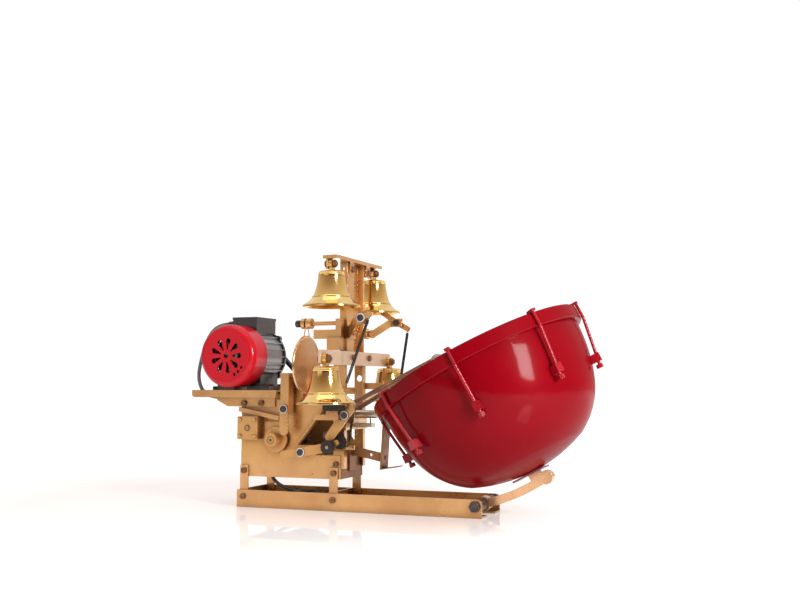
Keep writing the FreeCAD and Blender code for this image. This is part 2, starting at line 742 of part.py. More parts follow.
keep(free_shape(gear_shape(small_count, tooth_module.value, gear_wide.value, shaft_bore.value, facing),
                (lay_x, gear_low, lay_z)), "lay_pinion")

shaft_end = belt_mid + pulley_wide / 2 + 2
keep(cyl(shaft_rod, 2 * box_half + block_deep + 1 + 6, (lay_x, -box_half - block_deep - 1, lay_z), "+y"),
     "lay_shaft")
disc_back = box_half + boss_thick + 1
disc_thick = size("disc_thick", 5, "thickness of the crank disc")
hub_front = size("hub_front", -78, "front face of the crank disc hub")
shaft_piece = cyl(shaft_rod, shaft_end - hub_front - 1, (cam_x, hub_front + 1, cam_z), "+y")
lobes = []
lobe_reach = size("lobe_reach", 30, "swept radius of a cam lobe")
for lobe_y, lobe_turn in ((-32, 20), (22, 110)):
    tips = []
    for half_turn in (0, 180):
        way = math.radians(lobe_turn + half_turn)
        tips.append(cyl(8, 8, (cam_x + (lobe_reach - 8) * math.cos(way), lobe_y,
                               cam_z + (lobe_reach - 8) * math.sin(way)), "+y"))
    web = box((lobe_reach - 8) * 2, 8, 16,
              (cam_x - (lobe_reach - 8) * math.cos(math.radians(lobe_turn))
               + 8 * math.sin(math.radians(lobe_turn)), lobe_y,
               cam_z - (lobe_reach - 8) * math.sin(math.radians(lobe_turn))
               - 8 * math.cos(math.radians(lobe_turn))), about_y(-lobe_turn))
    lobes += tips + [web, cyl(hub_round, 8, (cam_x, lobe_y, cam_z), "+y")]
keep(fuse(shaft_piece, *lobes), "cam_shaft")

disc_piece = cyl(disc_round, disc_thick, (cam_x, -disc_back - disc_thick, cam_z), "+y")
hub_piece = cyl(hub_round, -disc_back - disc_thick - hub_front, (cam_x, hub_front, cam_z), "+y")
disc_holes = [cyl(shaft_bore, 40, (cam_x, hub_front + 1, cam_z), "+y"),
              cyl(1, 4, (cam_x, hub_front - 1, cam_z), "+y")]
for dx, dz in ((-16, 7), (15, 9)):
    disc_holes.append(cyl(1.8, 12, (cam_x + dx, -disc_back - disc_thick - 2, cam_z + dz), "+y"))
keep(cut(fuse(disc_piece, hub_piece), *disc_holes), "cam_disc")


# ---------------------------------------------------------------- pulleys and belt
groove_deep = belt_deep + belt_drop + 1.5
groove_half = belt_top / 2 + 0.6
groove_foot = size("groove_foot", 3.2, "half width at the foot of a pulley groove")


def pulley(radius, x, z, web):
    """V pulley with a deep rim; the big one has a thin web and lightening holes."""
    half = pulley_wide / 2
    outline = [(shaft_bore, -half), (radius, -half), (radius, -groove_half), (radius - groove_deep,
               -groove_foot), (radius - groove_deep, groove_foot), (radius, groove_half),
               (radius, half), (shaft_bore, half)]
    if web:
        inner = radius - groove_deep - 6
        outline = [(shaft_bore, -half), (16, -half), (16, -4), (inner, -4), (inner, -half),
                   (radius, -half), (radius, -groove_half), (radius - groove_deep, -groove_foot),
                   (radius - groove_deep, groove_foot), (radius, groove_half), (radius, half),
                   (inner, half), (inner, 4), (16, 4), (16, half), (shaft_bore, half)]
    piece = turned(outline, (x, belt_mid, z), "+y")
    if not web:
        return piece
    holes = []
    for number in range(6):
        angle = math.radians(60 * number + 15)
        holes.append(cyl(9, 12, (x + 38 * math.cos(angle), belt_mid - 6, z + 38 * math.sin(angle)), "+y"))
    return cut(piece, *holes)


motor_z = deck_top + motor_rise
keep(pulley(pulley_big, cam_x, cam_z, True), "large_pulley")
keep(pulley(pulley_small, motor_x, motor_z, False), "motor_pulley")


def belt_shape():
    """V belt: the closed path round both pitch circles, swept with its wedge section."""
    r_one = pulley_small.value - belt_drop.value
    r_two = pulley_big.value - belt_drop.value
    one = Vector(motor_x.value, 0, motor_z.value)
    two = Vector(cam_x.value, 0, cam_z.value)
    gap = two - one
    heading = math.atan2(gap.z, gap.x)
    spread = math.acos((r_one - r_two) / gap.Length)

    def spot(centre, radius, angle):
        return centre + Vector(math.cos(angle), 0, math.sin(angle)) * radius

    a_one = spot(one, r_one, heading + spread)
    b_one = spot(one, r_one, heading - spread)
    a_two = spot(two, r_two, heading + spread)
    b_two = spot(two, r_two, heading - spread)
    path = Part.Wire([Part.LineSegment(a_one, a_two).toShape(),
                      Part.Arc(a_two, spot(two, r_two, heading), b_two).toShape(),
                      Part.LineSegment(b_two, b_one).toShape(),
                      Part.Arc(b_one, spot(one, r_one, heading + math.pi), a_one).toShape()])
    out = Vector(math.cos(heading + spread), 0, math.sin(heading + spread))
    side = Vector(0, 1, 0)
    top = belt_top.value / 2
    foot = top - 2.9
    corners = [a_one + out * belt_drop.value + side * top, a_one + out * belt_drop.value - side * top,
               a_one - out * (belt_deep.value - belt_drop.value) - side * foot,
               a_one - out * (belt_deep.value - belt_drop.value) + side * foot]
    section = Part.Wire(Part.makePolygon(corners + [corners[0]]))
    return path.makePipeShell([section], True, True)


belt = free_shape(belt_shape(), (0, belt_mid, 0))
keep(belt, "v_belt")

# ---------------------------------------------------------------- motor platform
deck_under = deck_top - deck_wall
lip_low = deck_top - deck_lip
tray = span(deck_left, deck_right, deck_front, deck_back, deck_under, deck_top)
front_lip = plate_y([(deck_left, lip_low), (deck_right, lip_low), (deck_right, deck_top),
                     (deck_left, deck_top)], deck_front, deck_front + deck_wall)
for lip_x in (deck_left, deck_right):
    round_edges(front_lip, 6, at_corner(lip_x, lip_low, "xz"))
rear_lip = span(deck_left, deck_right, deck_back - deck_wall, deck_back, lip_low, deck_under)
foot_bolt_x = size("foot_bolt_x", 52, "motor foot bolts from the axis")
foot_high = size("foot_high", 7, "thickness of a motor foot")
foot_spots = []
for dx in (-1, 1):
    for foot_y in (-22, 30):
        foot_spots.append((motor_x + foot_bolt_x * dx, foot_y))
deck_drills = [bore((x, y, lip_low), "+z", 40) for x, y in foot_spots]
lead_hole_x = size("lead_hole_x", -92, "motor lead hole along X")
lead_hole_y = size("lead_hole_y", -59, "motor lead hole along Y")
deck_drills.append(cyl(8, 20, (lead_hole_x, lead_hole_y, deck_under - 5)))
deck = cut(fuse(tray, front_lip, rear_lip), *deck_drills)
gusset_low = size("gusset_low", 187.5, "underside of the platform gussets")
gusset_left = size("gusset_left", -64, "left end of the platform gussets")
gusset_right = size("gusset_right", 62, "right end of the platform gussets")
gusset_thick = size("gusset_thick", 3, "thickness of the platform gussets")
gusset_outline = [(gusset_left + 24, gusset_low), (gusset_right, gusset_low), (gusset_right, deck_under),
                  (gusset_left, deck_under), (gusset_left, gusset_low + 12)]
gusset_holes = [(x, gusset_bolt_z, bolt_rod + bolt_gap) for x in gusset_bolts_x]
near_gusset = plate_y(gusset_outline, -box_half - gusset_thick, -box_half, gusset_holes)
far_gusset = plate_y(gusset_outline, box_half, box_half + gusset_thick, gusset_holes)
keep(gather(deck, near_gusset, far_gusset), "motor_platform")
for bolt_x in gusset_bolts_x:
    frame_bolts.append(bolt((bolt_x, -box_half - gusset_thick, gusset_bolt_z), "+y",
                            gusset_thick + plate_wall))
    frame_bolts.append(bolt((bolt_x, box_half + gusset_thick, gusset_bolt_z), "-y",
                            gusset_thick + plate_wall))
for x, y in foot_spots:
    frame_bolts.append(bolt((x, y, deck_top + foot_high), "-z", foot_high + deck_wall))
frame_bolts.append(bolt((tongue_bolt_x, -box_half, tongue_bolt_z), "+y", plate_wall))

# ---------------------------------------------------------------- motor
motor_long = motor_back - motor_front
stator = doc.addObject("PartDesign::Body", "Body")
core_sketch = new_sketch(stator, "XZ_Plane")
draw_circle(core_sketch, 0, 0, motor_core)
draw_circle(core_sketch, 0, 0, shaft_rod + 1)
core_pad = stator.newObject("PartDesign::Pad", "Core")
core_pad.Profile = core_sketch
core_pad.Length = motor_long.value
bind(core_pad, "Length", motor_long)
doc.recompute()
fin_sketch = new_sketch(stator, "XZ_Plane")
draw_loop(fin_sketch, [(-1.4, motor_core - 1.5), (1.4, motor_core - 1.5),
                       (0.9, motor_round), (-0.9, motor_round)])
fin_pad = stator.newObject("PartDesign::Pad", "Fin")
fin_pad.Profile = fin_sketch
fin_pad.Length = motor_long.value
bind(fin_pad, "Length", motor_long)
doc.recompute()
fins = stator.newObject("PartDesign::PolarPattern", "Fins")
fins.Originals = [fin_pad]
fins.Axis = (fin_sketch, ["N_Axis"])
fins.Angle = 360
fins.Occurrences = 24
stator.Tip = fins
place(stator, (motor_x, motor_back, motor_z))
doc.recompute()
keep(stator, "motor_body")

shield = turned([(shaft_rod + 1, 0), (motor_round, 0), (motor_round, 5), (44, 7), (21, 8),
                 (18, 11), (shaft_rod + 1, 11)], (motor_x, motor_back, motor_z), "+y")
lugs = []
for number in range(4):
    angle = math.radians(45 + 90 * number)
    spot = (motor_x + 52 * math.cos(angle), motor_back, motor_z + 52 * math.sin(angle))
    lugs.append(cyl(6, 8, spot, "+y"))
foot_blocks = []
foot_half = 62
for dx in (-1, 1):
    low_x = motor_x - foot_half if dx < 0 else motor_x + 14
    ledge = span(low_x, low_x + foot_half - 14, -32, 40, deck_top, deck_top + foot_high)
    inner_x = motor_x - 42 if dx < 0 else motor_x + 18
    web = span(inner_x, inner_x + 24, -30, 38, deck_top, motor_z - 30)
    foot_blocks.append(fuse(ledge, web))
foot_cut = cyl(motor_round + 0.3, 120, (motor_x, -60, motor_z), "+y")
foot_drills = [bore((x, y, deck_top - 1), "+z", 30) for x, y in foot_spots]
feet = [cut(block, foot_cut, *foot_drills) for block in foot_blocks]
keep(gather(fuse(shield, *lugs), *feet), "motor_castings")

# fan cowl: turned shell, then one drop shaped slot patterned round the face
cowl = doc.addObject("PartDesign::Body", "Body")
cowl_sketch = new_sketch(cowl, "XZ_Plane")
cowl_lip = motor_round + 0.3
draw_loop(cowl_sketch, [
    (cowl_lip, 0), (cowl_round, 0), (cowl_round, cowl_long - cowl_bevel),
    (cowl_face, cowl_long, cowl_face + 7.2, cowl_long - cowl_bevel / 3), (5, cowl_long),
    (5, cowl_long - cowl_wall), (cowl_face - 1, cowl_long - cowl_wall),
    (cowl_round - cowl_wall, cowl_long - cowl_bevel - 0.5,
     cowl_face + 5, cowl_long - cowl_bevel / 3 - 2),
    (cowl_round - cowl_wall, 4), (cowl_lip, 4)])
cowl_turn = cowl.newObject("PartDesign::Revolution", "Revolution")
cowl_turn.Profile = cowl_sketch
cowl_turn.ReferenceAxis = (cowl_sketch, ["V_Axis"])
cowl_turn.Angle = 360
doc.recompute()
slot_sketch = new_sketch(cowl, "XY_Plane")
slot_in = size("slot_in", 11.5, "inner radius of the cowl slots")
slot_out = size("slot_out", 28, "centre radius of a slot's round end")
slot_half = size("slot_half", 5, "half width of a slot's round end")
draw_loop(slot_sketch, [(slot_in, 1), (slot_in, -1), (slot_out, -slot_half),
                        (slot_out, slot_half, slot_out + slot_half, 0)])
slot = cowl.newObject("PartDesign::Pocket", "Slot")
slot.Profile = slot_sketch
slot.Type = "ThroughAll"
slot.Reversed = True
doc.recompute()
slots = cowl.newObject("PartDesign::PolarPattern", "Slots")
slots.Originals = [slot]
slots.Axis = (slot_sketch, ["N_Axis"])
slots.Angle = 360
slots.Occurrences = int(cowl_slots.value)
cowl.Tip = slots
doc.recompute()
vent_sketch = new_sketch(cowl, "XY_Plane")
for turn_deg in (-62, -48, -34):
    turn_rad = math.radians(turn_deg)
    draw_circle(vent_sketch, 40 * math.cos(turn_rad), 40 * math.sin(turn_rad), 3)
vents = cowl.newObject("PartDesign::Pocket", "Vents")
vents.Profile = vent_sketch
vents.Type = "ThroughAll"
vents.Reversed = True
doc.recompute()
cowl.Tip = vents
place(cowl, (motor_x, motor_front + 4, motor_z), ALONG["-y"])
keep(cowl, "motor_cowl")

fan_back = motor_front - 8
shaft_line = cyl(shaft_rod, belt_mid + pulley_wide / 2 + 2 - (fan_back - 26),
                 (motor_x, fan_back - 26, motor_z), "+y")
fan = [cyl(46, 2, (motor_x, fan_back - 2, motor_z), "+y"), cyl(13, 22, (motor_x, fan_back - 22, motor_z), "+y")]
for number in range(7):
    turn_deg = number * 360.0 / 7
    turn_rad = math.radians(turn_deg)
    start = (motor_x + 10 * math.cos(turn_rad) - math.sin(turn_rad), fan_back - 22,
             motor_z + 10 * math.sin(turn_rad) + math.cos(turn_rad))
    fan.append(box(34, 21, 2, start, about_y(-turn_deg)))
keep(fuse(shaft_line, *fan), "motor_shaft")

lid_z = size("lid_z", 354, "joint of the terminal box lid")
case = cut(span(motor_x - 19.4, motor_x + 32.6, -30, 45, motor_z + 46, lid_z),
           cyl(motor_round + 0.3, 120, (motor_x, -60, motor_z), "+y"))
lid = span(motor_x - 20.4, motor_x + 33.6, -31, 46, lid_z, lid_z + 5)
gland_z = size("gland_z", 347, "cable gland height")
gland_y = size("gland_y", -20, "cable gland along Y")
gland_nut = cyl(6.6, 7, (motor_x - 17.4, gland_y, gland_z), "-x")
gland_neck = cyl(5, 16, (motor_x - 17.4, gland_y, gland_z), "-x")
junction = span(46, 80, -box_inner, -30, 176, 199)
keep(gather(fuse(case, lid, gland_nut, gland_neck), junction), "terminal_boxes")

# ---------------------------------------------------------------- tower
def tower_angle(left, right, flange_low, web_low, web_high, low, high):
    """Angle with its flange square to Y and its web at the right edge."""
    flange = span(left, right, flange_low, flange_low + tower_wall, low, high)
    web = span(right - tower_wall, right, web_low, web_high, low, high)
    return fuse(flange, web)


post_foot = size("post_foot", 76, "foot of the lower posts")
near_post = tower_angle(post_left, tower_x, -post_half, -post_half + tower_wall, -mast_half,
                        post_foot, bar_high)
far_post = tower_angle(post_left, tower_x, post_half - tower_wall, mast_half, post_half - tower_wall,
                       post_foot, bar_low)
near_mast = tower_angle(tower_x - mast_wide, tower_x, -mast_half, -mast_half + tower_wall,
                        -mast_half + mast_web, bar_low, beam_low)
bar_bolt_z = size("bar_bolt_z", 279, "middle bar bolts height")
tab_bolt_z = size("tab_bolt_z", 443, "top beam bolts height")
foot_bolt_z = size("foot_bolt_z", 326, "hammer carrier bolts height")
mast_left = tower_x - mast_wide
far_parts = [span(mast_left, tower_x, mast_half, mast_half + tower_wall, bar_low, beam_low),
             span(mast_left, mast_left + tower_wall, mast_half - 24, mast_half, bar_low, beam_low)]
for lug_low, lug_high in ((bar_low, bar_high), (foot_bolt_z - 10, foot_bolt_z + 10),
                          (tab_bolt_z - 8, beam_low)):
    far_parts.append(span(tower_x - tower_wall, tower_x, mast_half, mast_half + mast_web - 4,
                          lug_low, lug_high))
far_mast = fuse(*far_parts)
nut_x = size("nut_x", 197, "post bolt along X")
nut_z = size("nut_z", 142, "post bolt height")
web_ys = (-mast_half + mast_web / 2, mast_half + mast_web / 2)
post_drills = [bore((post_mid, -post_half - 1, post_bolt_z), "+y", 2 * post_half + 2),
               bore((nut_x, -post_half - 1, nut_z), "+y", tower_wall + 2),
               cyl(6, 10, (191, post_half - 6, 240.5), "+y")]
mast_drills = []
for web_y in web_ys:
    for z in (bar_bolt_z, tab_bolt_z, foot_bolt_z):
        mast_drills.append(bore((tower_x - tower_wall - 1, web_y, z), "+x", tower_wall + 2))
mast_drills.append(cyl(2.5, 10, (tower_x - 8, -mast_half - 1, beam_low - 12), "+y"))
keep(gather(cut(gather(near_post, far_post), *post_drills),
            cut(gather(near_mast, far_mast), *mast_drills)), "tower_angles")
frame_bolts.append(fuse(hexagon(bolt_head + 0.6, bolt_cap, (nut_x, -post_half, nut_z), "-y"),
                        cyl(bolt_rod, tower_wall, (nut_x, -post_half, nut_z), "+y")))
for sign in (-1, 1):
    way = "+y" if sign < 0 else "-y"
    frame_bolts.append(bolt((post_mid, box_half * sign, post_bolt_z), way, plate_wall + tower_wall))

low_bell_x = tower_x + bar_thick + 0.4 + bell_eye_wide / 2
bar_outline = [(-bar_reach, bar_low), (bar_reach, bar_low), (bar_reach, bar_high), (-bar_reach, bar_high)]
bar_holes = [(web_y, bar_bolt_z, bolt_rod + bolt_gap) for web_y in web_ys]
for sign in (-1, 1):
    bar_holes.append((low_bell_y * sign, low_bell_z, bell_rod + bolt_gap))
mid_bar = plate_x(bar_outline, tower_x, tower_x + bar_thick, bar_holes)
for sign in (-1, 1):
    for z in (bar_low, bar_high):
        round_edges(mid_bar, 4, at_corner(bar_reach * sign, z, "yz"))
keep(mid_bar, "mid_bar")

beam_left = size("beam_left", 185, "left edge of the top beam")
beam_right = size("beam_right", 213, "right edge of the top beam")
tab_thick = size("tab_thick", 3, "thickness of the beam's tabs")
beam = span(beam_left, beam_right, -beam_reach, beam_reach, beam_low, beam_low + beam_thick)
tabs = []
beam_drills = []
tab_left = high_bell_x - bell_eye_wide / 2 - 0.4 - tab_thick
for sign in (-1, 1):
    middle = high_bell_y * sign
    tabs.append(span(tab_left, tab_left + tab_thick, middle - 10, middle + 10,
                     high_bell_z - 10, beam_low))
    beam_drills.append(bore((tab_left - 1, middle, high_bell_z), "+x", tab_thick + 2, bell_rod))
for web_y in web_ys:
    tabs.append(span(tower_x, tower_x + tab_thick, web_y - 9, web_y + 9, tab_bolt_z - 8, beam_low))
    beam_drills.append(bore((tower_x - 1, web_y, tab_bolt_z), "+x", tab_thick + 2))
keep(cut(fuse(beam, *tabs), *beam_drills), "top_beam")
carrier_thick = size("carrier_thick", 4, "thickness of a hammer carrier")
for web_y in web_ys:
    frame_bolts.append(bolt((tower_x + tab_thick, web_y, tab_bolt_z), "-x", tab_thick + tower_wall))
    frame_bolts.append(bolt((tower_x + bar_thick, web_y, bar_bolt_z), "-x", bar_thick + tower_wall))
    frame_bolts.append(bolt((tower_x + carrier_thick, web_y, foot_bolt_z), "-x",
                            carrier_thick + tower_wall))

# cross plate, lever bracket and spring anchors on the posts
cross_top = size("cross_top", 171, "top of the cross plate")
cross_plate = span(tower_x, tower_x + tower_wall, -post_half, post_half, 146, cross_top)
bracket = plate_y([(post_left + 4, right_lever_z - 15), (right_lever_x + 11, right_lever_z - 15),
                   (right_lever_x + 11, right_lever_z + 14), (post_left + 4, right_lever_z + 14)],
                  -post_half - tower_wall, -post_half,
                  [(right_lever_x, right_lever_z, pin_rod + bolt_gap)])
short_foot = size("short_foot", 120, "lower end of the short spring, height")
spring_tab = fuse(span(184, 224, -post_half - tower_wall, -post_half, short_foot - 9, short_foot - 1),
                  cyl(2.2, 22, (220, -post_half - tower_wall, short_foot - 5), "-y"))
near_foot = size("near_foot", 224, "lower end of the near spring, height")
far_foot = size("far_foot", 232, "lower end of the far spring, height")
near_anchor = fuse(span(184, 227, -post_half - tower_wall, -post_half, near_foot - 12, near_foot),
                   span(219, 227, -hammer_y - 4, -post_half - tower_wall, near_foot - 3, near_foot))
far_anchor = fuse(span(184, 263, post_half, post_half + tower_wall, far_foot - 12, far_foot),
                  span(254, 263, post_half + tower_wall, hammer_y + 4, far_foot - 3, far_foot))
keep(gather(cross_plate, bracket, spring_tab, near_anchor, far_anchor), "tower_plates")

# ---------------------------------------------------------------- hammer carriers
def carrier(sign, foot_a, foot_b, half):
    """Bent strip from a mast out to a hammer pivot: plan shape crossed with side shape."""
    outer = (hammer_y - 3) * sign
    inner = (hammer_y - 7) * sign
    bend = 1.5 * sign
    plan = [(tower_x, foot_a), (tower_x, foot_b + bend), (hammer_x - 10, outer), (hammer_x + 12, outer),
            (hammer_x + 12, inner), (hammer_x - 8, inner), (tower_x + carrier_thick, foot_b),
            (tower_x + carrier_thick, foot_a)]
    flat = padded("XY_Plane", plan, 60, (0, 0, 308))
    side = [(tower_x - 3, foot_bolt_z - half), (tower_x + 8, foot_bolt_z - half),
            (hammer_x - 11, hammer_z - half), (hammer_x + 14, hammer_z - half),
            (hammer_x + 14, hammer_z + half), (hammer_x - 11, hammer_z + half),
            (tower_x + 8, foot_bolt_z + half), (tower_x - 3, foot_bolt_z + half)]
    tall = plate_y(side, -110, 110)
    blank = common(flat, tall)
    holes = [cyl(pin_rod + bolt_gap, 8, (hammer_x, (hammer_y - 8) * sign, hammer_z),
                 "+y" if sign > 0 else "-y"),
             bore((tower_x - 1, web_ys[0] if sign < 0 else web_ys[1], foot_bolt_z), "+x", 8)]
    return cut(blank, *holes)


keep(gather(carrier(-1, -mast_half + mast_web - 3, -mast_half + tower_wall, 11.5),
            carrier(1, mast_half + 5, mast_half + 25, 8)), "hammer_carriers")


# ---------------------------------------------------------------- pins
def pin(x, z, back, lever_back, lever_front, nut=True):
    """Lever pin along Y: shoulder sleeve, shank, washer and clip in front of the lever."""
    sign = -1 if lever_front < lever_back else 1
    out_way = "-y" if sign < 0 else "+y"
    in_way = opposite(out_way)
    sleeve_long = abs(dim(back).value - lever_back) - 0.3
    pieces = [cyl(pin_rod, abs(dim(back).value - lever_front) + 5, (x, back, z), out_way)]
    if sleeve_long > 0.5:
        pieces.append(cyl(pin_rod + 3, sleeve_long, (x, back, z), out_way))
    face = lever_front + 0.3 * sign
    pieces.append(cyl(pin_rod + 4, 1, (x, face, z), out_way))
    pieces.append(hexagon(6.2, 3, (x, face + 1 * sign, z), out_way))
    if nut:
        pieces.append(cyl(pin_rod, 9, (x, back, z), in_way))
        pieces.append(hexagon(6.4, 4, (x, dim(back) - sign * nut, z), in_way))
    return fuse(*pieces)


lever_front = lever_face.value - lever_thick.value
gong_back = size("gong_back", -56, "rear face of the gong lever")
channel_deep = size("channel_deep", 20, "depth of the gong lever channel")
arm_front = gong_back.value - channel_deep.value - 3
low_back = size("low_back", -72, "rear face of the lower lever")
pins.append(pin(gong_lever_x, gong_lever_z, -box_half, gong_back.value, arm_front, plate_wall.value))
pins.append(pin(low_lever_x, low_lever_z, -box_half, low_back.value,
                low_back.value - lever_thick.value, plate_wall.value))
pins.append(pin(right_lever_x, right_lever_z, -post_half - tower_wall, lever_face.value, lever_front,
                tower_wall.value))
hammer_face = hammer_y - 3
for sign in (-1, 1):
    pins.append(pin(hammer_x, hammer_z, hammer_face * sign, (hammer_face.value + 0.4) * sign,
                    (hammer_face.value + 0.4 + lever_thick.value) * sign, 4))
spacer_long = frame_half - rail_thick - arm_wide / 2 - 0.3
for sign in (-1, 1):
    start = (arm_x, (frame_half - rail_thick) * sign, arm_z)
    way = "+y" if sign < 0 else "-y"
    pins.append(cut(cyl(arm_rod + 4, spacer_long, start, way), cyl(arm_rod + bolt_gap, spacer_long, start, way)))
pins.append(bolt((arm_x, -frame_half, arm_z), "+y", 2 * frame_half, arm_rod, 10, 6))
beater_shaft = cyl(5, 2 * (post_half - tower_wall), (beater_x, -post_half + tower_wall, beater_z), "+y")
pins.append(beater_shaft)
keep(gather(*pins), "pivot_pins")


# ---------------------------------------------------------------- bells
def bell(x, y, z):
    """Turned brass bell with its flat hanging eye; the origin is the hanging bolt."""
    lip = -bell_drop
    profile = [(0, -15.4), (0, -12.2), (bell_shoulder - 5, -12.8),
               (bell_shoulder + 1.5, -19, bell_shoulder - 0.4, -14.6), (31, -40, 26.8, -30),
               (bell_mouth - 3, lip + 8, 38.4, -58), (bell_mouth - 0.4, lip + 5),
               (bell_mouth, lip + 1), (bell_mouth - 1, lip), (bell_mouth - bell_wall - 0.5, lip),
               (28, -41, 35.2, -60), (bell_shoulder - 1.5, -21, 23.7, -31),
               (bell_shoulder - 6, -15.8, bell_shoulder - 3, -17.4)]
    shell = turned(profile, (x, y, z))
    left = x - bell_eye_wide / 2
    eye = cyl(bell_eye, bell_eye_wide, (left, y, z), "+x")
    neck = box(bell_eye_wide, 12, 13, (left, y - 6, z - 13))
    hole = cyl(bell_rod + bolt_gap, bell_eye_wide + 2, (left - 1, y, z), "+x")
    return cut(fuse(shell, eye, neck), hole)


high_bell = (high_bell_x, high_bell_y, high_bell_z)
keep(bell(high_bell_x, -high_bell_y, high_bell_z), "bell_upper_near")
keep(bell(high_bell_x, high_bell_y, high_bell_z), "bell_upper_far")
keep(bell(low_bell_x, -low_bell_y, low_bell_z), "bell_lower_near")
keep(bell(low_bell_x, low_bell_y, low_bell_z), "bell_lower_far")
for sign in (-1, 1):
    frame_bolts.append(bolt((tab_left, high_bell_y * sign, high_bell_z), "+x",
                           tab_thick + bell_eye_wide + 0.8, bell_rod, 7, 5))
    frame_bolts.append(bolt((tower_x, low_bell_y * sign, low_bell_z), "+x",
                           bar_thick + bell_eye_wide + 0.8, bell_rod, 7, 5))
keep(gather(*frame_bolts), "frame_bolts")

# ---------------------------------------------------------------- gong and hanger
disc = cyl(gong_round, gong_wall, (gong_x - gong_wall / 2, gong_y, gong_z), "+x")
rim = doc.addObject("Part::Torus", "Torus")
rim.Radius1 = gong_round.value - 1.2
rim.Radius2 = 2.2
bind(rim, "Radius1", gong_round - 1.2)
place(rim, (gong_x, gong_y, gong_z), ALONG["+x"])
ring = doc.addObject("Part::Torus", "Torus")
ring.Radius1 = hanger_rod.value + 1.6
ring.Radius2 = 1.1
bind(ring, "Radius1", hanger_rod + 1.6)
place(ring, (gong_x, gong_y, hanger_z), ALONG["+x"])
wires = [rod(1.1, (gong_x, gong_y + side * 3.5, hanger_z - 4.4),
             (gong_x, gong_y + side * 12, gong_z + 50)) for side in (-1, 1)]
keep(fuse(disc, rim, ring, *wires), "gong")

hanger_left = size("hanger_left", 110, "left end of the gong hanger rod")
hanger_right = size("hanger_right", 196, "right end of the gong hanger rod")
hanger_block = span(172, tower_x - 4, gong_y - 10, -mast_half, 292, 315)
hanger_plate = span(143, tower_x - 4, gong_y - 6, gong_y - 3, 313, 330)
hanger_ear = span(188, tower_x - 4, gong_y - 6, gong_y + 6, 313, hanger_z + 8)
hanger_bar = cyl(hanger_rod, hanger_right - hanger_left, (hanger_left, gong_y, hanger_z), "+x")
collars = [cyl(10, 7, (gong_x - 1.6 - 7, gong_y, hanger_z), "+x"),
           cyl(10, 10, (gong_x + 1.6, gong_y, hanger_z), "+x"),
           cyl(6, 6, (hanger_left - 4, gong_y, hanger_z), "+x")]
keep(fuse(hanger_block, hanger_plate, hanger_ear, hanger_bar, *collars), "gong_hanger")

# ---------------------------------------------------------------- levers
pin_bore = pin_rod + bolt_gap
half_bar = size("half_bar", 8.5, "half width of the gong lever")
lever_low = size("lever_low", 175, "foot of the gong lever channel")
lever_high = size("lever_high", 250.4, "top of the gong lever channel")
channel_front = gong_back - channel_deep
channel = padded("XY_Plane", [
    (gong_lever_x - half_bar, channel_front), (gong_lever_x + half_bar, channel_front),
    (gong_lever_x + half_bar, gong_back), (gong_lever_x + half_bar - 2.5, gong_back),
    (gong_lever_x + half_bar - 2.5, channel_front + 2.5),
    (gong_lever_x - half_bar + 2.5, channel_front + 2.5),
    (gong_lever_x - half_bar + 2.5, gong_back), (gong_lever_x - half_bar, gong_back)],
    lever_high - lever_low, (0, 0, lever_low))
lower_arm = bar_link((gong_lever_x, gong_lever_z), (gong_lever_x + 0.2, gong_lever_z - 39.5),
                     half_bar * 2, arm_front, channel_front)
hub = cyl(7, channel_deep, (gong_lever_x, channel_front, gong_lever_z), "+y")
striker_z = size("striker_z", 245, "gong striker height")
striker = [cyl(3, 16, (gong_lever_x + half_bar - 2.5, -66, striker_z), "+x"),
           hexagon(6.5, 6, (gong_lever_x + half_bar + 8, -66, striker_z), "+x"),
           ball(4, (gong_x - 1.3 - 3.6 - 4, -66, striker_z)),
           span(gong_lever_x - half_bar + 1, gong_lever_x + half_bar - 1, -68.5, -63.5,
                striker_z - 3, striker_z + 3)]
gong_bore = cyl(pin_bore, 40, (gong_lever_x, arm_front - 5, gong_lever_z), "+y")
keep(cut(fuse(channel, lower_arm, hub, *striker), gong_bore), "gong_lever")

low_front = low_back - lever_thick
low_bore = cyl(pin_bore, 20, (low_lever_x, low_front - 5, low_lever_z), "+y")
roller_x = size("roller_x", 185, "front rubber roller along X")
roller_z = size("roller_z", 116.5, "front rubber roller height")
rear_roller_x = size("rear_roller_x", 200, "rear rubber roller along X")
rear_roller_z = size("rear_roller_z", 125, "rear rubber roller height")
low_arms = [bar_link((low_lever_x, low_lever_z), (low_lever_x - 35, low_lever_z - 5), 14,
                     low_front, low_back),
            bar_link((low_lever_x, low_lever_z), (roller_x, roller_z), 17, low_front, low_back),
            bar_link((roller_x, roller_z), (rear_roller_x, rear_roller_z), 10, low_front, low_back),
            cyl(3, 9.5, (roller_x, low_front - 8.5, roller_z), "+y"),
            cyl(3, 17, (rear_roller_x, low_back - 1, rear_roller_z), "+y")]
keep(cut(fuse(*low_arms), low_bore), "lower_lever")


def knurled(radius, x, z, y_low, y_high, bore_radius, teeth):
    """Rubber roller with shallow flutes round its rim."""
    points = []
    for number in range(teeth * 2):
        angle = math.pi * number / teeth
        reach = radius if number % 2 == 0 else radius - 1.2
        points.append(Vector(reach * math.cos(angle), 0, reach * math.sin(angle)))
    points.append(points[0])
    solid = Part.Face(Part.makePolygon(points)).extrude(Vector(0, y_high - y_low, 0))
    solid = solid.cut(Part.makeCylinder(bore_radius, y_high - y_low + 2, Vector(0, -1, 0), Vector(0, 1, 0)))
    return free_shape(solid, (x, y_low, z))


keep(gather(knurled(13, roller_x, roller_z, low_front.value - 8, low_front.value - 0.3, 3.1, 16),
            knurled(13, rear_roller_x, rear_roller_z, -64, -57, 3.1, 16)), "rubber_rollers")

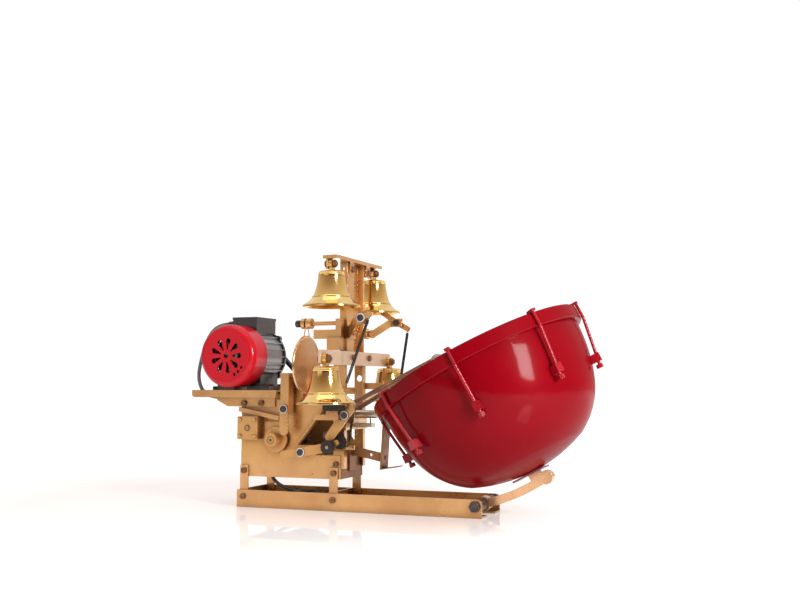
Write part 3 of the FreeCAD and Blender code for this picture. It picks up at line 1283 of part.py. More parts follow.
right_bore = cyl(pin_bore, 20, (right_lever_x, lever_front - 5, right_lever_z), "+y")
right_arms = [bar_link((right_lever_x, right_lever_z), (right_lever_x + 10, right_lever_z + 11.6), 18,
                       lever_front, lever_face),
              bar_link((right_lever_x, right_lever_z), (right_lever_x - 29, right_lever_z - 39.4), 18,
                       lever_front, lever_face),
              span(155, 205, lever_front - 8, lever_front, 165, 175),
              span(180, 204, lever_front - 8, lever_front, 175, 181.8)]
keep(cut(fuse(*right_arms), right_bore), "right_lever")
rubber = span(178, 214.5, lever_front - 18, lever_front, 182, 198.5)
keep(rubber, "striker_block")
hook_x = size("hook_x", 231, "upper end of the short spring along X")
keep(rod(2.6, (220.5, lever_face - 2, short_foot), (hook_x - 2, lever_face - 2, 174)), "short_spring")


def hammer(sign, spring_x, spring_z):
    """Upper hammer: bell arm with its ball, and the arm that takes the spring."""
    low_y = (hammer_face + 0.4) if sign > 0 else -(hammer_face + 0.4) - lever_thick
    high_y = low_y + lever_thick
    arms = [bar_link((hammer_x, hammer_z), (hammer_x - 30, hammer_z + 20), 10, low_y, high_y),
            bar_link((hammer_x - 30, hammer_z + 20), (hammer_x - 29, hammer_z + 33), 8, low_y, high_y),
            bar_link((hammer_x, hammer_z), (spring_x, spring_z), 10, low_y, high_y),
            ball(hammer_ball, (hammer_x - 29, low_y + lever_thick / 2, hammer_z + 33)),
            cyl(8, lever_thick, (hammer_x, low_y, hammer_z), "+y")]
    drill = cyl(pin_bore, 20, (hammer_x, low_y - 5, hammer_z), "+y")
    return cut(fuse(*arms), drill)


keep(hammer(-1, hammer_x + 17, hammer_z + 6), "hammer_near")
keep(hammer(1, hammer_x + 22, hammer_z - 12), "hammer_far")
plane_y = hammer_face + 0.4 + lever_thick / 2
spring_plane = plane_y + 1.2
keep(rod(spring_round, (223, -spring_plane, near_foot + 1.5), (267.6, -spring_plane, hammer_z - 3)), "spring_near")
keep(rod(spring_round, (258.6, spring_plane, far_foot + 0.9), (274, spring_plane, hammer_z - 18.5)), "spring_far")

# ---------------------------------------------------------------- drum frame of reference
sin_tilt = dsin(drum_tilt)
cos_tilt = dcos(drum_tilt)
lean = about_y(-drum_tilt.value)


def in_drum(u, v, w):
    """Point given along the drum's own axes, from the middle of its rim."""
    return (drum_x + dim(u) * cos_tilt - dim(w) * sin_tilt, v, drum_z + dim(u) * sin_tilt + dim(w) * cos_tilt)


head_sink = size("head_sink", 2.5, "drum head below the top of the hoop")
head_thick = size("head_thick", 1.5, "thickness of the drum head")


# ---------------------------------------------------------------- drum beaters
head_round = size("head_round", 14, "radius of a beater's felt head")
stick_fit = size("stick_fit", 0.1, "space between a stick and its felt head")


def beater(side, start_x, start_z, end_x, slope, roller_z, arm_end):
    """Drum beater: lever on the cross shaft with its wooden stick, and the felt head."""
    y_mid = beater_y * side
    y_low = y_mid - 4
    hub = cyl(9, 8, (beater_x, y_low, beater_z), "+y")
    arm = bar_link((beater_x, beater_z), arm_end, 10, y_low, y_mid + 4)
    tail = bar_link((beater_x, beater_z), (157, roller_z), 10, y_low, y_mid + 4)
    roller = cyl(6.5, 8, (157, y_low - 8 if side < 0 else y_mid + 4, roller_z), "+y")
    end_z = start_z + (end_x - start_x) * slope
    stick = rod(stick_round, (start_x, y_mid, start_z), (end_x, y_mid, end_z))
    drill = cyl(5 + shaft_fit, 20, (beater_x, y_low - 5, beater_z), "+y")
    felt = ball(head_round, (end_x, y_mid, end_z - 7))
    socket = rod(stick_round + stick_fit, (end_x - 40, y_mid, end_z - 40 * slope),
                 (end_x + 0.3, y_mid, end_z + 0.3 * slope))
    return cut(fuse(hub, arm, tail, roller, stick), drill), cut(felt, socket)


near_beater, near_head = beater(-1, 202, 192.4, 374, 0.495, 135.5, (beater_x + 14, beater_z + 20))
far_beater, far_head = beater(1, 204, 186, 360, 0.56, 139, (beater_x + 15, beater_z + 14))
keep(near_beater, "beater_near")
keep(far_beater, "beater_far")
keep(near_head, "beater_head_near")
keep(far_head, "beater_head_far")

stop_end = size("stop_end", 247, "right end of the drum stop")
stop_z = size("stop_z", 174, "drum stop height")
stop = cyl(7.5, stop_end - tower_x - tower_wall, (tower_x + tower_wall, 0, stop_z), "+x")
shelf = span(tower_x + tower_wall, 240, -10, 10, 150, 158)
wire = rod(1.5, (234, 0, 157), (234, 0, stop_z - 6))
keep(fuse(stop, shelf, wire), "drum_stop")

rest_pad = box(8, 30, 18, in_drum(-hoop_round - 8.4, -15, -hoop_high + 3), lean)
rest_plate = span(box_right, box_right + 3, -14, 14, 70, 112)
rest_arm = fuse(span(box_right + 3, 210, -2.5, 2.5, 97, 113),
                bar_link((208, 105), (258, 95), 16, -2.5, 2.5, [(236, 99.4, 3)]))
rest_bar = plate_y([(259, 74), (263, 74), (268.5, 159), (264.5, 159)], -15, 15)
rest_toe = plate_y([(260, 74), (293, 79), (293, 81), (260, 76)], -15, 15)
rest_bolt = hexagon(6, 8, (258.4, -6.5, 94.7), "+y")
keep(fuse(rest_pad, rest_plate, rest_arm, rest_bar, rest_toe, rest_bolt), "drum_rest")

# ---------------------------------------------------------------- drum
shell_points = [
    (0, -shell_deep),
    (shell_round * 0.567, -shell_deep * 0.9, shell_round * 0.3, -shell_deep * 0.9729),
    (shell_round * 0.909, -shell_deep * 0.55, shell_round * 0.775, -shell_deep * 0.75),
    (shell_round, -22, shell_round * 0.977, -shell_deep * 0.333),
    (shell_round, -head_sink - head_thick),
    (shell_round - shell_wall, -head_sink - head_thick),
    (shell_round - shell_wall, -22),
    (shell_round * 0.909 - shell_wall * 0.9, -shell_deep * 0.55 + shell_wall * 0.45,
     shell_round * 0.977 - shell_wall, -shell_deep * 0.333),
    (shell_round * 0.567 - shell_wall * 0.6, -shell_deep * 0.9 + shell_wall * 0.8,
     shell_round * 0.775 - shell_wall * 0.75, -shell_deep * 0.75 + shell_wall * 0.65),
    (0, -shell_deep + shell_wall, shell_round * 0.3, -shell_deep * 0.9729 + shell_wall)]
keep(turned(shell_points, (drum_x, 0, drum_z), turn=lean), "drum_shell")
keep(turned([(0, -head_sink - head_thick), (shell_round + 0.2, -head_sink - head_thick),
             (shell_round + 0.2, -head_sink), (0, -head_sink)], (drum_x, 0, drum_z), turn=lean), "drum_head")
hoop_in = shell_round + 0.5
keep(turned([(hoop_in, -hoop_high), (hoop_round - 2, -hoop_high), (hoop_round, -hoop_high + 2),
             (hoop_round, -2), (hoop_round - 2, 0), (hoop_in + 2, 0), (hoop_in, -1.5)],
            (drum_x, 0, drum_z), turn=lean), "drum_hoop")


def hooks_shape():
    """Tension hooks: claw over the hoop, bent rod, lug on the shell and nut."""
    out = hoop_round.value + hook_rod.value + 0.5
    low = hoop_high.value + 2
    foot_r = out - 15
    foot_w = -118.0
    up = Vector(0, 0, 1)
    straight = Part.makeCylinder(hook_rod.value, low + 2, Vector(out, 0, -low), up)
    knee = Part.makeSphere(hook_rod.value, Vector(out, 0, -low))
    slant = Vector(foot_r - out, 0, foot_w + low)
    stem = Part.makeCylinder(hook_rod.value, slant.Length, Vector(out, 0, -low), slant)
    claw = Part.makeBox(15, 9, 4, Vector(out + 4 - 15, -4.5, 0.4))
    share = (100.0 - low) / (118.0 - low)
    lug_r = out - 15 * share
    lug = Part.makeBox(30, 13, 15, Vector(lug_r - 24, -6.5, -107))
    nut_block = Part.makePolygon([Vector(foot_r + 6 * math.cos(k * math.pi / 3),
                                         6 * math.sin(k * math.pi / 3), foot_w) for k in range(7)])
    nut_solid = Part.Face(nut_block).extrude(Vector(0, 0, 7))
    one = straight.fuse([knee, stem, claw, lug, nut_solid])
    side = Part.Wire([
        Part.Arc(Vector(shell_round.value * 0.567, 0, -shell_deep.value * 0.9),
                 Vector(shell_round.value * 0.775, 0, -shell_deep.value * 0.75),
                 Vector(shell_round.value * 0.909, 0, -shell_deep.value * 0.55)).toShape(),
        Part.Arc(Vector(shell_round.value * 0.909, 0, -shell_deep.value * 0.55),
                 Vector(shell_round.value * 0.977, 0, -shell_deep.value * 0.333),
                 Vector(shell_round.value, 0, -22)).toShape(),
        Part.makeLine(Vector(shell_round.value, 0, -22), Vector(0, 0, -22)),
        Part.makeLine(Vector(0, 0, -22), Vector(0, 0, -shell_deep.value * 0.9)),
        Part.makeLine(Vector(0, 0, -shell_deep.value * 0.9),
                      Vector(shell_round.value * 0.567, 0, -shell_deep.value * 0.9))])
    bowl = Part.Face(side).revolve(Vector(0, 0, 0), up, 360)
    bowl.scale(1.0018, Vector(0, 0, 0))
    one = one.cut(bowl).removeSplitter()
    first = -84.0
    copies = []
    for number in range(int(hook_count.value)):
        copy = one.copy()
        copy.rotate(Vector(0, 0, 0), up, first + number * 360.0 / hook_count.value)
        copies.append(copy)
    return Part.makeCompound(copies)


keep(free_shape(hooks_shape(), (drum_x, 0, drum_z), lean), "drum_hooks")
saddle_top = -shell_deep - 0.3
saddle_wall = size("saddle_wall", 3, "thickness of the drum saddle")
saddle = box(61, 44, saddle_wall, in_drum(-35, -22, saddle_top - saddle_wall), lean)
keep(saddle, "drum_saddle")


def arm_band():
    """Curved bar: the arc between the pivot and the end boss, given its depth and width."""
    half = arm_high.value / 2
    start = Vector(arm_x.value, 0, arm_z.value)
    end = Vector(567, 0, 70)
    arc = Part.Arc(start, Vector(518.6, 0, 42.4), end)
    centre = arc.toShape().Curve.Center
    radius = arc.toShape().Curve.Radius

    def at(point, reach):
        return centre + (point - centre).normalize() * reach

    middle = arc.value((arc.FirstParameter + arc.LastParameter) / 2)
    outline = Part.Wire([
        Part.Arc(at(start, radius - half), at(middle, radius - half), at(end, radius - half)).toShape(),
        Part.makeLine(at(end, radius - half), at(end, radius + half)),
        Part.Arc(at(end, radius + half), at(middle, radius + half), at(start, radius + half)).toShape(),
        Part.makeLine(at(start, radius + half), at(start, radius - half))])
    return Part.Face(outline).extrude(Vector(0, arm_wide.value, 0))


band = free_shape(arm_band(), (0, -arm_wide / 2, 0))
arm_hub = cyl(13, arm_wide, (arm_x, -arm_wide / 2, arm_z), "+y")
arm_boss = cyl(12, arm_wide, (567, -arm_wide / 2, 70), "+y")
arm_block = box(20, arm_wide, 18, in_drum(-8, -arm_wide / 2, saddle_top - saddle_wall - 18), lean)
arm_bore = cyl(arm_rod + 0.1, arm_wide + 2, (arm_x, -arm_wide / 2 - 1, arm_z), "+y")
keep(cut(fuse(band, arm_hub, arm_boss, arm_block), arm_bore), "drum_arm")


# ---------------------------------------------------------------- leads
def lead(route, radius):
    """Round lead along a route: straight runs joined by tangent arcs."""
    spots = [Vector(*p) for p in route]
    edges = []
    here = spots[0]
    total = 0.0
    for index in range(1, len(spots) - 1):
        corner = spots[index]
        into = (corner - spots[index - 1])
        away = (spots[index + 1] - corner)
        turn_half = into.getAngle(away) / 2
        trim = 0.45 * min(into.Length, away.Length)
        bend = trim / math.tan(turn_half)
        into = into.normalize()
        away = away.normalize()
        first = corner - into * trim
        last = corner + away * trim
        inward = (away - into).normalize()
        centre = corner + inward * (bend / math.cos(turn_half))
        middle = centre - inward * bend
        edges.append(Part.LineSegment(here, first).toShape())
        edges.append(Part.Arc(first, middle, last).toShape())
        total += (first - here).Length + bend * 2 * turn_half
        here = last
        print("  bend radius %.1f at %s" % (bend, tuple(round(c, 1) for c in corner)))
    edges.append(Part.LineSegment(here, spots[-1]).toShape())
    total += (spots[-1] - here).Length
    heading = (spots[1] - spots[0]).normalize()
    ring = Part.Wire([Part.Circle(spots[0], heading, radius).toShape()])
    tube = Part.Wire(edges).makePipeShell([ring], True, True)
    print("  length %.1f volume ratio %.4f" % (total, tube.Volume / (math.pi * radius ** 2 * total)))
    return free_shape(tube)


motor_lead_route = [(-58.3, -20, 347), (-82, -20, 346), (-103, -25, 324), (-111, -40, 272),
                    (-106, -54, 240), (-92, -59, 214), (-74, -47, 204), (-42, -38, 206),
                    (-8, -36, 208), (20, -35, 203), (43.6, -35, 190.5)]
keep(lead(motor_lead_route, 3.5), "motor_lead")
coil_mid = size("coil_mid", 113, "middle of the wound lead along X")
coil_run = size("coil_run", 26.2, "half length of the coil's straight sides")
coil_out = size("coil_out", 28.8, "outer half width of the coil")
coil_in = size("coil_in", 15.9, "inner half width of the coil")
coil_high = size("coil_high", 19.6, "height of the coil")
coil_rest = size("coil_rest", 3.9, "underside of the coil")
coil_line = coil_out - lead_round
mains_route = [(62, -39, 174.8), (52, -40, 140), (46, -39, 100), (45, -38, 62), (60, -38, 44),
               (84, -34, 34), (104, -29, 29), (126, -26, 27.4)]
plug_z = size("plug_z", 12.2, "plug axis height")
plug_tail = rod(lead_round, (55.1, -coil_line, plug_z), (68, -coil_line, plug_z - 3.6))
keep(gather(lead(mains_route, lead_round.value), plug_tail), "mains_lead")


def stadium(half_wide):
    """Outline with two straight sides and two half round ends."""
    left = coil_mid - coil_run
    right = coil_mid + coil_run
    return [(left, -half_wide, left - half_wide, 0), (right, -half_wide),
            (right, half_wide, right + half_wide, 0), (left, half_wide)]


coil_blank = cut(padded("XY_Plane", stadium(coil_out), coil_high, (0, 0, coil_rest)),
                 padded("XY_Plane", stadium(coil_in), coil_high + 2, (0, 0, coil_rest - 1)))
coil = doc.addObject("Part::Fillet", "Fillet")
coil.Base = coil_blank
doc.recompute()
coil.Edges = [(number, 2.8, 2.8) for number, edge in enumerate(coil_blank.Shape.Edges, 1)
              if abs(edge.Vertexes[0].Point.z - edge.Vertexes[-1].Point.z) < 0.01]
keep(coil, "mains_coil")
tie_left = coil_mid - 3
tie_skin = span(tie_left, tie_left + 6, coil_in - 0.7, coil_out + 0.7, coil_rest - 0.7,
                coil_rest + coil_high + 0.7)
tie_hole = span(tie_left - 1, tie_left + 7, coil_in - 0.2, coil_out + 0.2, coil_rest - 0.2,
                coil_rest + coil_high + 0.2)
keep(cut(tie_skin, tie_hole), "coil_tie")
plug_y = -coil_line
plug_body = fuse(span(20, 44, plug_y - 14, plug_y + 14, plug_z - 9, plug_z + 9),
                 cyl(5, 10, (44, plug_y, plug_z), "+x"))
plug_pins = [cyl(2.4, 17, (20, plug_y - 7, plug_z - 3), "-x"), cyl(2.4, 17, (20, plug_y + 7, plug_z - 3), "-x"),
             cyl(3, 19, (20, plug_y, plug_z + 4.5), "-x")]
keep(fuse(plug_body, *plug_pins), "mains_plug")

# ---------------------------------------------------------------- check and write
doc.recompute()
faults = []
for thing in doc.Objects:
    if "Invalid" in thing.State or "Error" in thing.State:
        faults.append("%s (%s) %s" % (thing.Name, thing.Label, thing.State))
for thing in nodes:
    if thing.Shape.isNull() or not thing.Shape.isValid() or not thing.Shape.Solids:
        faults.append("%s has no sound shape" % thing.Label)
if faults:
    for fault in faults:
        print("FAULT", fault)
    raise SystemExit(1)
for thing in nodes:
    thing.Shape.exportStep("parts/%s.step" % thing.Label)
    box_of = thing.Shape.BoundBox
    print("%-18s solids %2d  x %7.1f %7.1f  y %7.1f %7.1f  z %6.1f %6.1f" % (
        thing.Label, len(thing.Shape.Solids), box_of.XMin, box_of.XMax, box_of.YMin, box_of.YMax,
        box_of.ZMin, box_of.ZMax))
print("%d nodes" % len(nodes))
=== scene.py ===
import logging
import math
from dataclasses import dataclass, field
from enum import Enum

import bmesh
import bpy
import numpy as np
from mathutils import Matrix, Vector


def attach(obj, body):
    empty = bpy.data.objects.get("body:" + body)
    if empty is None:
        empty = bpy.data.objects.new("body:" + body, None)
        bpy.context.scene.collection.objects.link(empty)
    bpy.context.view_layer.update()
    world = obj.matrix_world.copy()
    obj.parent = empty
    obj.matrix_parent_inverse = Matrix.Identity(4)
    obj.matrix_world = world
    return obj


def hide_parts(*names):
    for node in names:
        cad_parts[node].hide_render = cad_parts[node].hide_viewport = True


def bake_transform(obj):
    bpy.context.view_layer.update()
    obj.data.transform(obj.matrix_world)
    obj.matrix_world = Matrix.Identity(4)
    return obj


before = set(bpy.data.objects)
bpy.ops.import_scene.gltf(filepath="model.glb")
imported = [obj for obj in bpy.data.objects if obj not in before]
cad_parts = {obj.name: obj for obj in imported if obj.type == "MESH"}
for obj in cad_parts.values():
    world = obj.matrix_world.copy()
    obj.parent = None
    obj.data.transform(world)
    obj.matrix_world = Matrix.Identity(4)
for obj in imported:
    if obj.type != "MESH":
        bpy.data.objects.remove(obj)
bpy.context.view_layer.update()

LOG = logging.getLogger("bell_machine")
MM = 0.001
EVEN = (1.0, 1.0, 1.0)
WHITE = (1.0, 1.0, 1.0)
TURNED_SCALE = 30.0
FIBRE_SCALE = 0.06
FINE_TURNING = 60.0
RUB_SCALE = 140.0
CREASE_REACH = 0.014
DULL_SPOT = 3.1
PIT_DEPTH = 3.0
FLAT_ANGLE = 30.0
POINTS_PER_METRE = 1e6
TINY = 1e-12
Point = tuple[float, float, float]
Colour = tuple[float, float, float]


class Axis(Enum):
    """Direction that a finish's marks run along."""

    X = (1.0, 0.0, 0.0)
    Y = (0.0, 1.0, 0.0)
    Z = (0.0, 0.0, 1.0)


class Way(Enum):
    """How a surface got its marks."""

    SPRAYED = "sprayed"
    TURNED = "turned"
    CAST = "cast"
    FIBROUS = "fibrous"


class Bench:
    """Node tree of one material, with short calls to place and join its nodes."""

    def __init__(self, name: str) -> None:
        """Make the material and keep its shader.

        Args:
            name: name of the material.
        """
        self.material = bpy.data.materials.new(name)
        self.material.use_nodes = True
        self.nodes = self.material.node_tree.nodes
        self.links = self.material.node_tree.links
        self.shader = self.nodes["Principled BSDF"]

    def add(self, kind: str, **settings: object) -> bpy.types.Node:
        """Place a node.

        Args:
            kind: the node's type name after "ShaderNode".
            settings: properties, or inputs when the name is in capitals.

        Returns:
            The new node.
        """
        node = self.nodes.new("ShaderNode" + kind)
        for key, value in settings.items():
            if key[0].isupper():
                node.inputs[key.replace("_", " ")].default_value = value
            else:
                setattr(node, key, value)
        return node

    def join(self, out: bpy.types.NodeSocket, into: bpy.types.NodeSocket) -> None:
        """Link an output to an input."""
        self.links.new(out, into)

    def position(self, stretch: Point = EVEN) -> bpy.types.NodeSocket:
        """Object position, stretched.

        Args:
            stretch: scale along each axis.

        Returns:
            Vector output.
        """
        place = self.add("TexCoord")
        mapping = self.add("Mapping")
        mapping.inputs["Scale"].default_value = stretch
        self.join(place.outputs["Object"], mapping.inputs["Vector"])
        return mapping.outputs["Vector"]

    def noise(self, vector: bpy.types.NodeSocket, scale: float, detail: float = 3.0,
              rough: float = 0.55) -> bpy.types.NodeSocket:
        """Noise value.

        Args:
            vector: position.
            scale: noise scale.
            detail: octaves.
            rough: weight of the finer octaves.

        Returns:
            Factor output.
        """
        node = self.add("TexNoise", Scale=scale, Detail=detail, Roughness=rough)
        self.join(vector, node.inputs["Vector"])
        return node.outputs["Fac"]

    def spread(self, value: bpy.types.NodeSocket, low: float, high: float, start: float = 0.3,
               end: float = 0.7) -> bpy.types.NodeSocket:
        """Map a factor to a range.

        Args:
            value: factor.
            low: result at start.
            high: result at end.
            start: factor that gives low.
            end: factor that gives high.

        Returns:
            Result output.
        """
        node = self.add("MapRange")
        limits = {"From Min": start, "From Max": end, "To Min": low, "To Max": high}
        for name, number in limits.items():
            node.inputs[name].default_value = number
        self.join(value, node.inputs["Value"])
        return node.outputs["Result"]

    def blend(self, factor: bpy.types.NodeSocket, one: object, two: object) -> bpy.types.NodeSocket:
        """Mix two colours.

        Args:
            factor: mix factor.
            one: colour or socket at 0.
            two: colour or socket at 1.

        Returns:
            Colour output.
        """
        node = self.add("Mix", data_type="RGBA")
        self.join(factor, node.inputs[0])
        for slot, value in ((6, one), (7, two)):
            if isinstance(value, tuple):
                node.inputs[slot].default_value = (*value, 1.0)
            else:
                self.join(value, node.inputs[slot])
        return node.outputs[2]

    def edge(self, radius: float) -> tuple[bpy.types.NodeSocket, bpy.types.NodeSocket]:
        """Soft edges.

        Args:
            radius: size of the rounding in metres.

        Returns:
            Rounded normal, and a factor that rises near an edge.
        """
        soft = self.add("Bevel", samples=4)
        soft.inputs["Radius"].default_value = radius
        shape = self.add("NewGeometry")
        angle = self.add("VectorMath", operation="DOT_PRODUCT")
        self.join(soft.outputs["Normal"], angle.inputs[0])
        self.join(shape.outputs["Normal"], angle.inputs[1])
        near = self.spread(angle.outputs["Value"], 1.0, 0.0, start=0.75, end=0.985)
        return soft.outputs["Normal"], near

    def crease(self, reach: float) -> bpy.types.NodeSocket:
        """Factor that rises in corners and seams that the AO node finds occluded, for painted
        shade.

        Args:
            reach: size of a crease in metres.

        Returns:
            Factor output.
        """
        node = self.add("AmbientOcclusion", samples=4)
        node.inputs["Distance"].default_value = reach
        return self.spread(node.outputs["AO"], 0.75, 0.0, start=0.45, end=0.9)

    def bump(self, height: bpy.types.NodeSocket, depth: float, normal: bpy.types.NodeSocket | None,
             strength: float = 1.0) -> bpy.types.NodeSocket:
        """Bump from a height.

        Args:
            height: height factor.
            depth: height in metres.
            normal: normal below it.
            strength: strength of the bump.

        Returns:
            Normal output.
        """
        node = self.add("Bump", Distance=depth, Strength=strength)
        self.join(height, node.inputs["Height"])
        if normal is not None:
            self.join(normal, node.inputs["Normal"])
        return node.outputs["Normal"]

    def set(self, name: str, value: float | Colour) -> None:
        """Set a shader socket.

        Args:
            name: name of the socket.
            value: number or colour.
        """
        if isinstance(value, tuple):
            value = (*value, 1.0)
        self.shader.inputs[name].default_value = value


@dataclass(frozen=True)
class Finish:
    """Surface of one kind of piece, in a maker's words."""

    name: str
    colour: Colour
    shade: Colour
    metallic: float = 0.0
    smooth: float = 0.3
    dull: float = 0.45
    way: Way = Way.SPRAYED
    axis: Axis = Axis.Z
    coat: float = 0.0
    coat_rough: float = 0.1
    sheen: float = 0.0
    mottle: float = 18.0
    grain: float = 900.0
    depth: float = 0.00004
    edge: float = 0.0005
    worn: Colour | None = None
    # colour of the painted shade in occluded corners and seams
    crease_shade: Colour | None = None
    shine: float = 0.5

    def _stretch(self) -> Point:
        """Scale of the marks: long along the work's axis, or the same all round.

        Returns:
            Scale along each axis.
        """
        if self.way == Way.TURNED:
            return tuple(TURNED_SCALE if part else 1.0 for part in self.axis.value)
        if self.way == Way.FIBROUS:
            return tuple(FIBRE_SCALE if part else 1.0 for part in self.axis.value)
        return EVEN

    def make(self) -> bpy.types.Material:
        """Build the material.

        Returns:
            The finished material.
        """
        bench = Bench(self.name)
        plain = bench.position()
        marks = bench.position(self._stretch())
        patch = bench.noise(plain, self.mottle, detail=4.0)
        fine = bench.noise(marks, FINE_TURNING if self.way == Way.TURNED else self.grain,
                           detail=2.0)
        mottled = bench.spread(patch, 0.0, 1.0, start=0.35, end=0.72)
        colour = bench.blend(mottled, self.colour, self.shade)
        if self.way == Way.FIBROUS:
            grained = bench.spread(fine, 0.0, 0.55, start=0.45, end=0.7)
            colour = bench.blend(grained, colour, self.shade)
        normal = None
        if self.edge > 0:
            normal, near = bench.edge(self.edge)
            if self.worn is not None:
                rub = bench.noise(plain, RUB_SCALE)
                mask = bench.add("Math", operation="MULTIPLY")
                bench.join(near, mask.inputs[0])
                rubbed = bench.spread(rub, 0.0, 0.8, start=0.45, end=0.62)
                bench.join(rubbed, mask.inputs[1])
                colour = bench.blend(mask.outputs[0], colour, self.worn)
        # Painted shade: occluded corners and seams are blended toward a darker colour.
        if self.crease_shade is not None:
            colour = bench.blend(bench.crease(CREASE_REACH), colour, self.crease_shade)
        bench.join(colour, bench.shader.inputs["Base Color"])
        spots = bench.noise(plain, self.mottle * DULL_SPOT, detail=5.0, rough=0.65)
        bench.join(bench.spread(spots, self.smooth, self.dull), bench.shader.inputs["Roughness"])
        if self.way == Way.CAST:
            pits = bench.noise(plain, self.grain, detail=5.0, rough=0.7)
            normal = bench.bump(pits, self.depth * PIT_DEPTH, normal)
        normal = bench.bump(fine, self.depth, normal)
        bench.join(normal, bench.shader.inputs["Normal"])
        bench.set("Metallic", self.metallic)
        bench.set("Specular IOR Level", self.shine)
        bench.set("Coat Weight", self.coat)
        bench.set("Coat Roughness", self.coat_rough)
        if self.sheen > 0:
            bench.set("Sheen Weight", self.sheen)
            bench.set("Sheen Roughness", 0.4)
        return bench.material


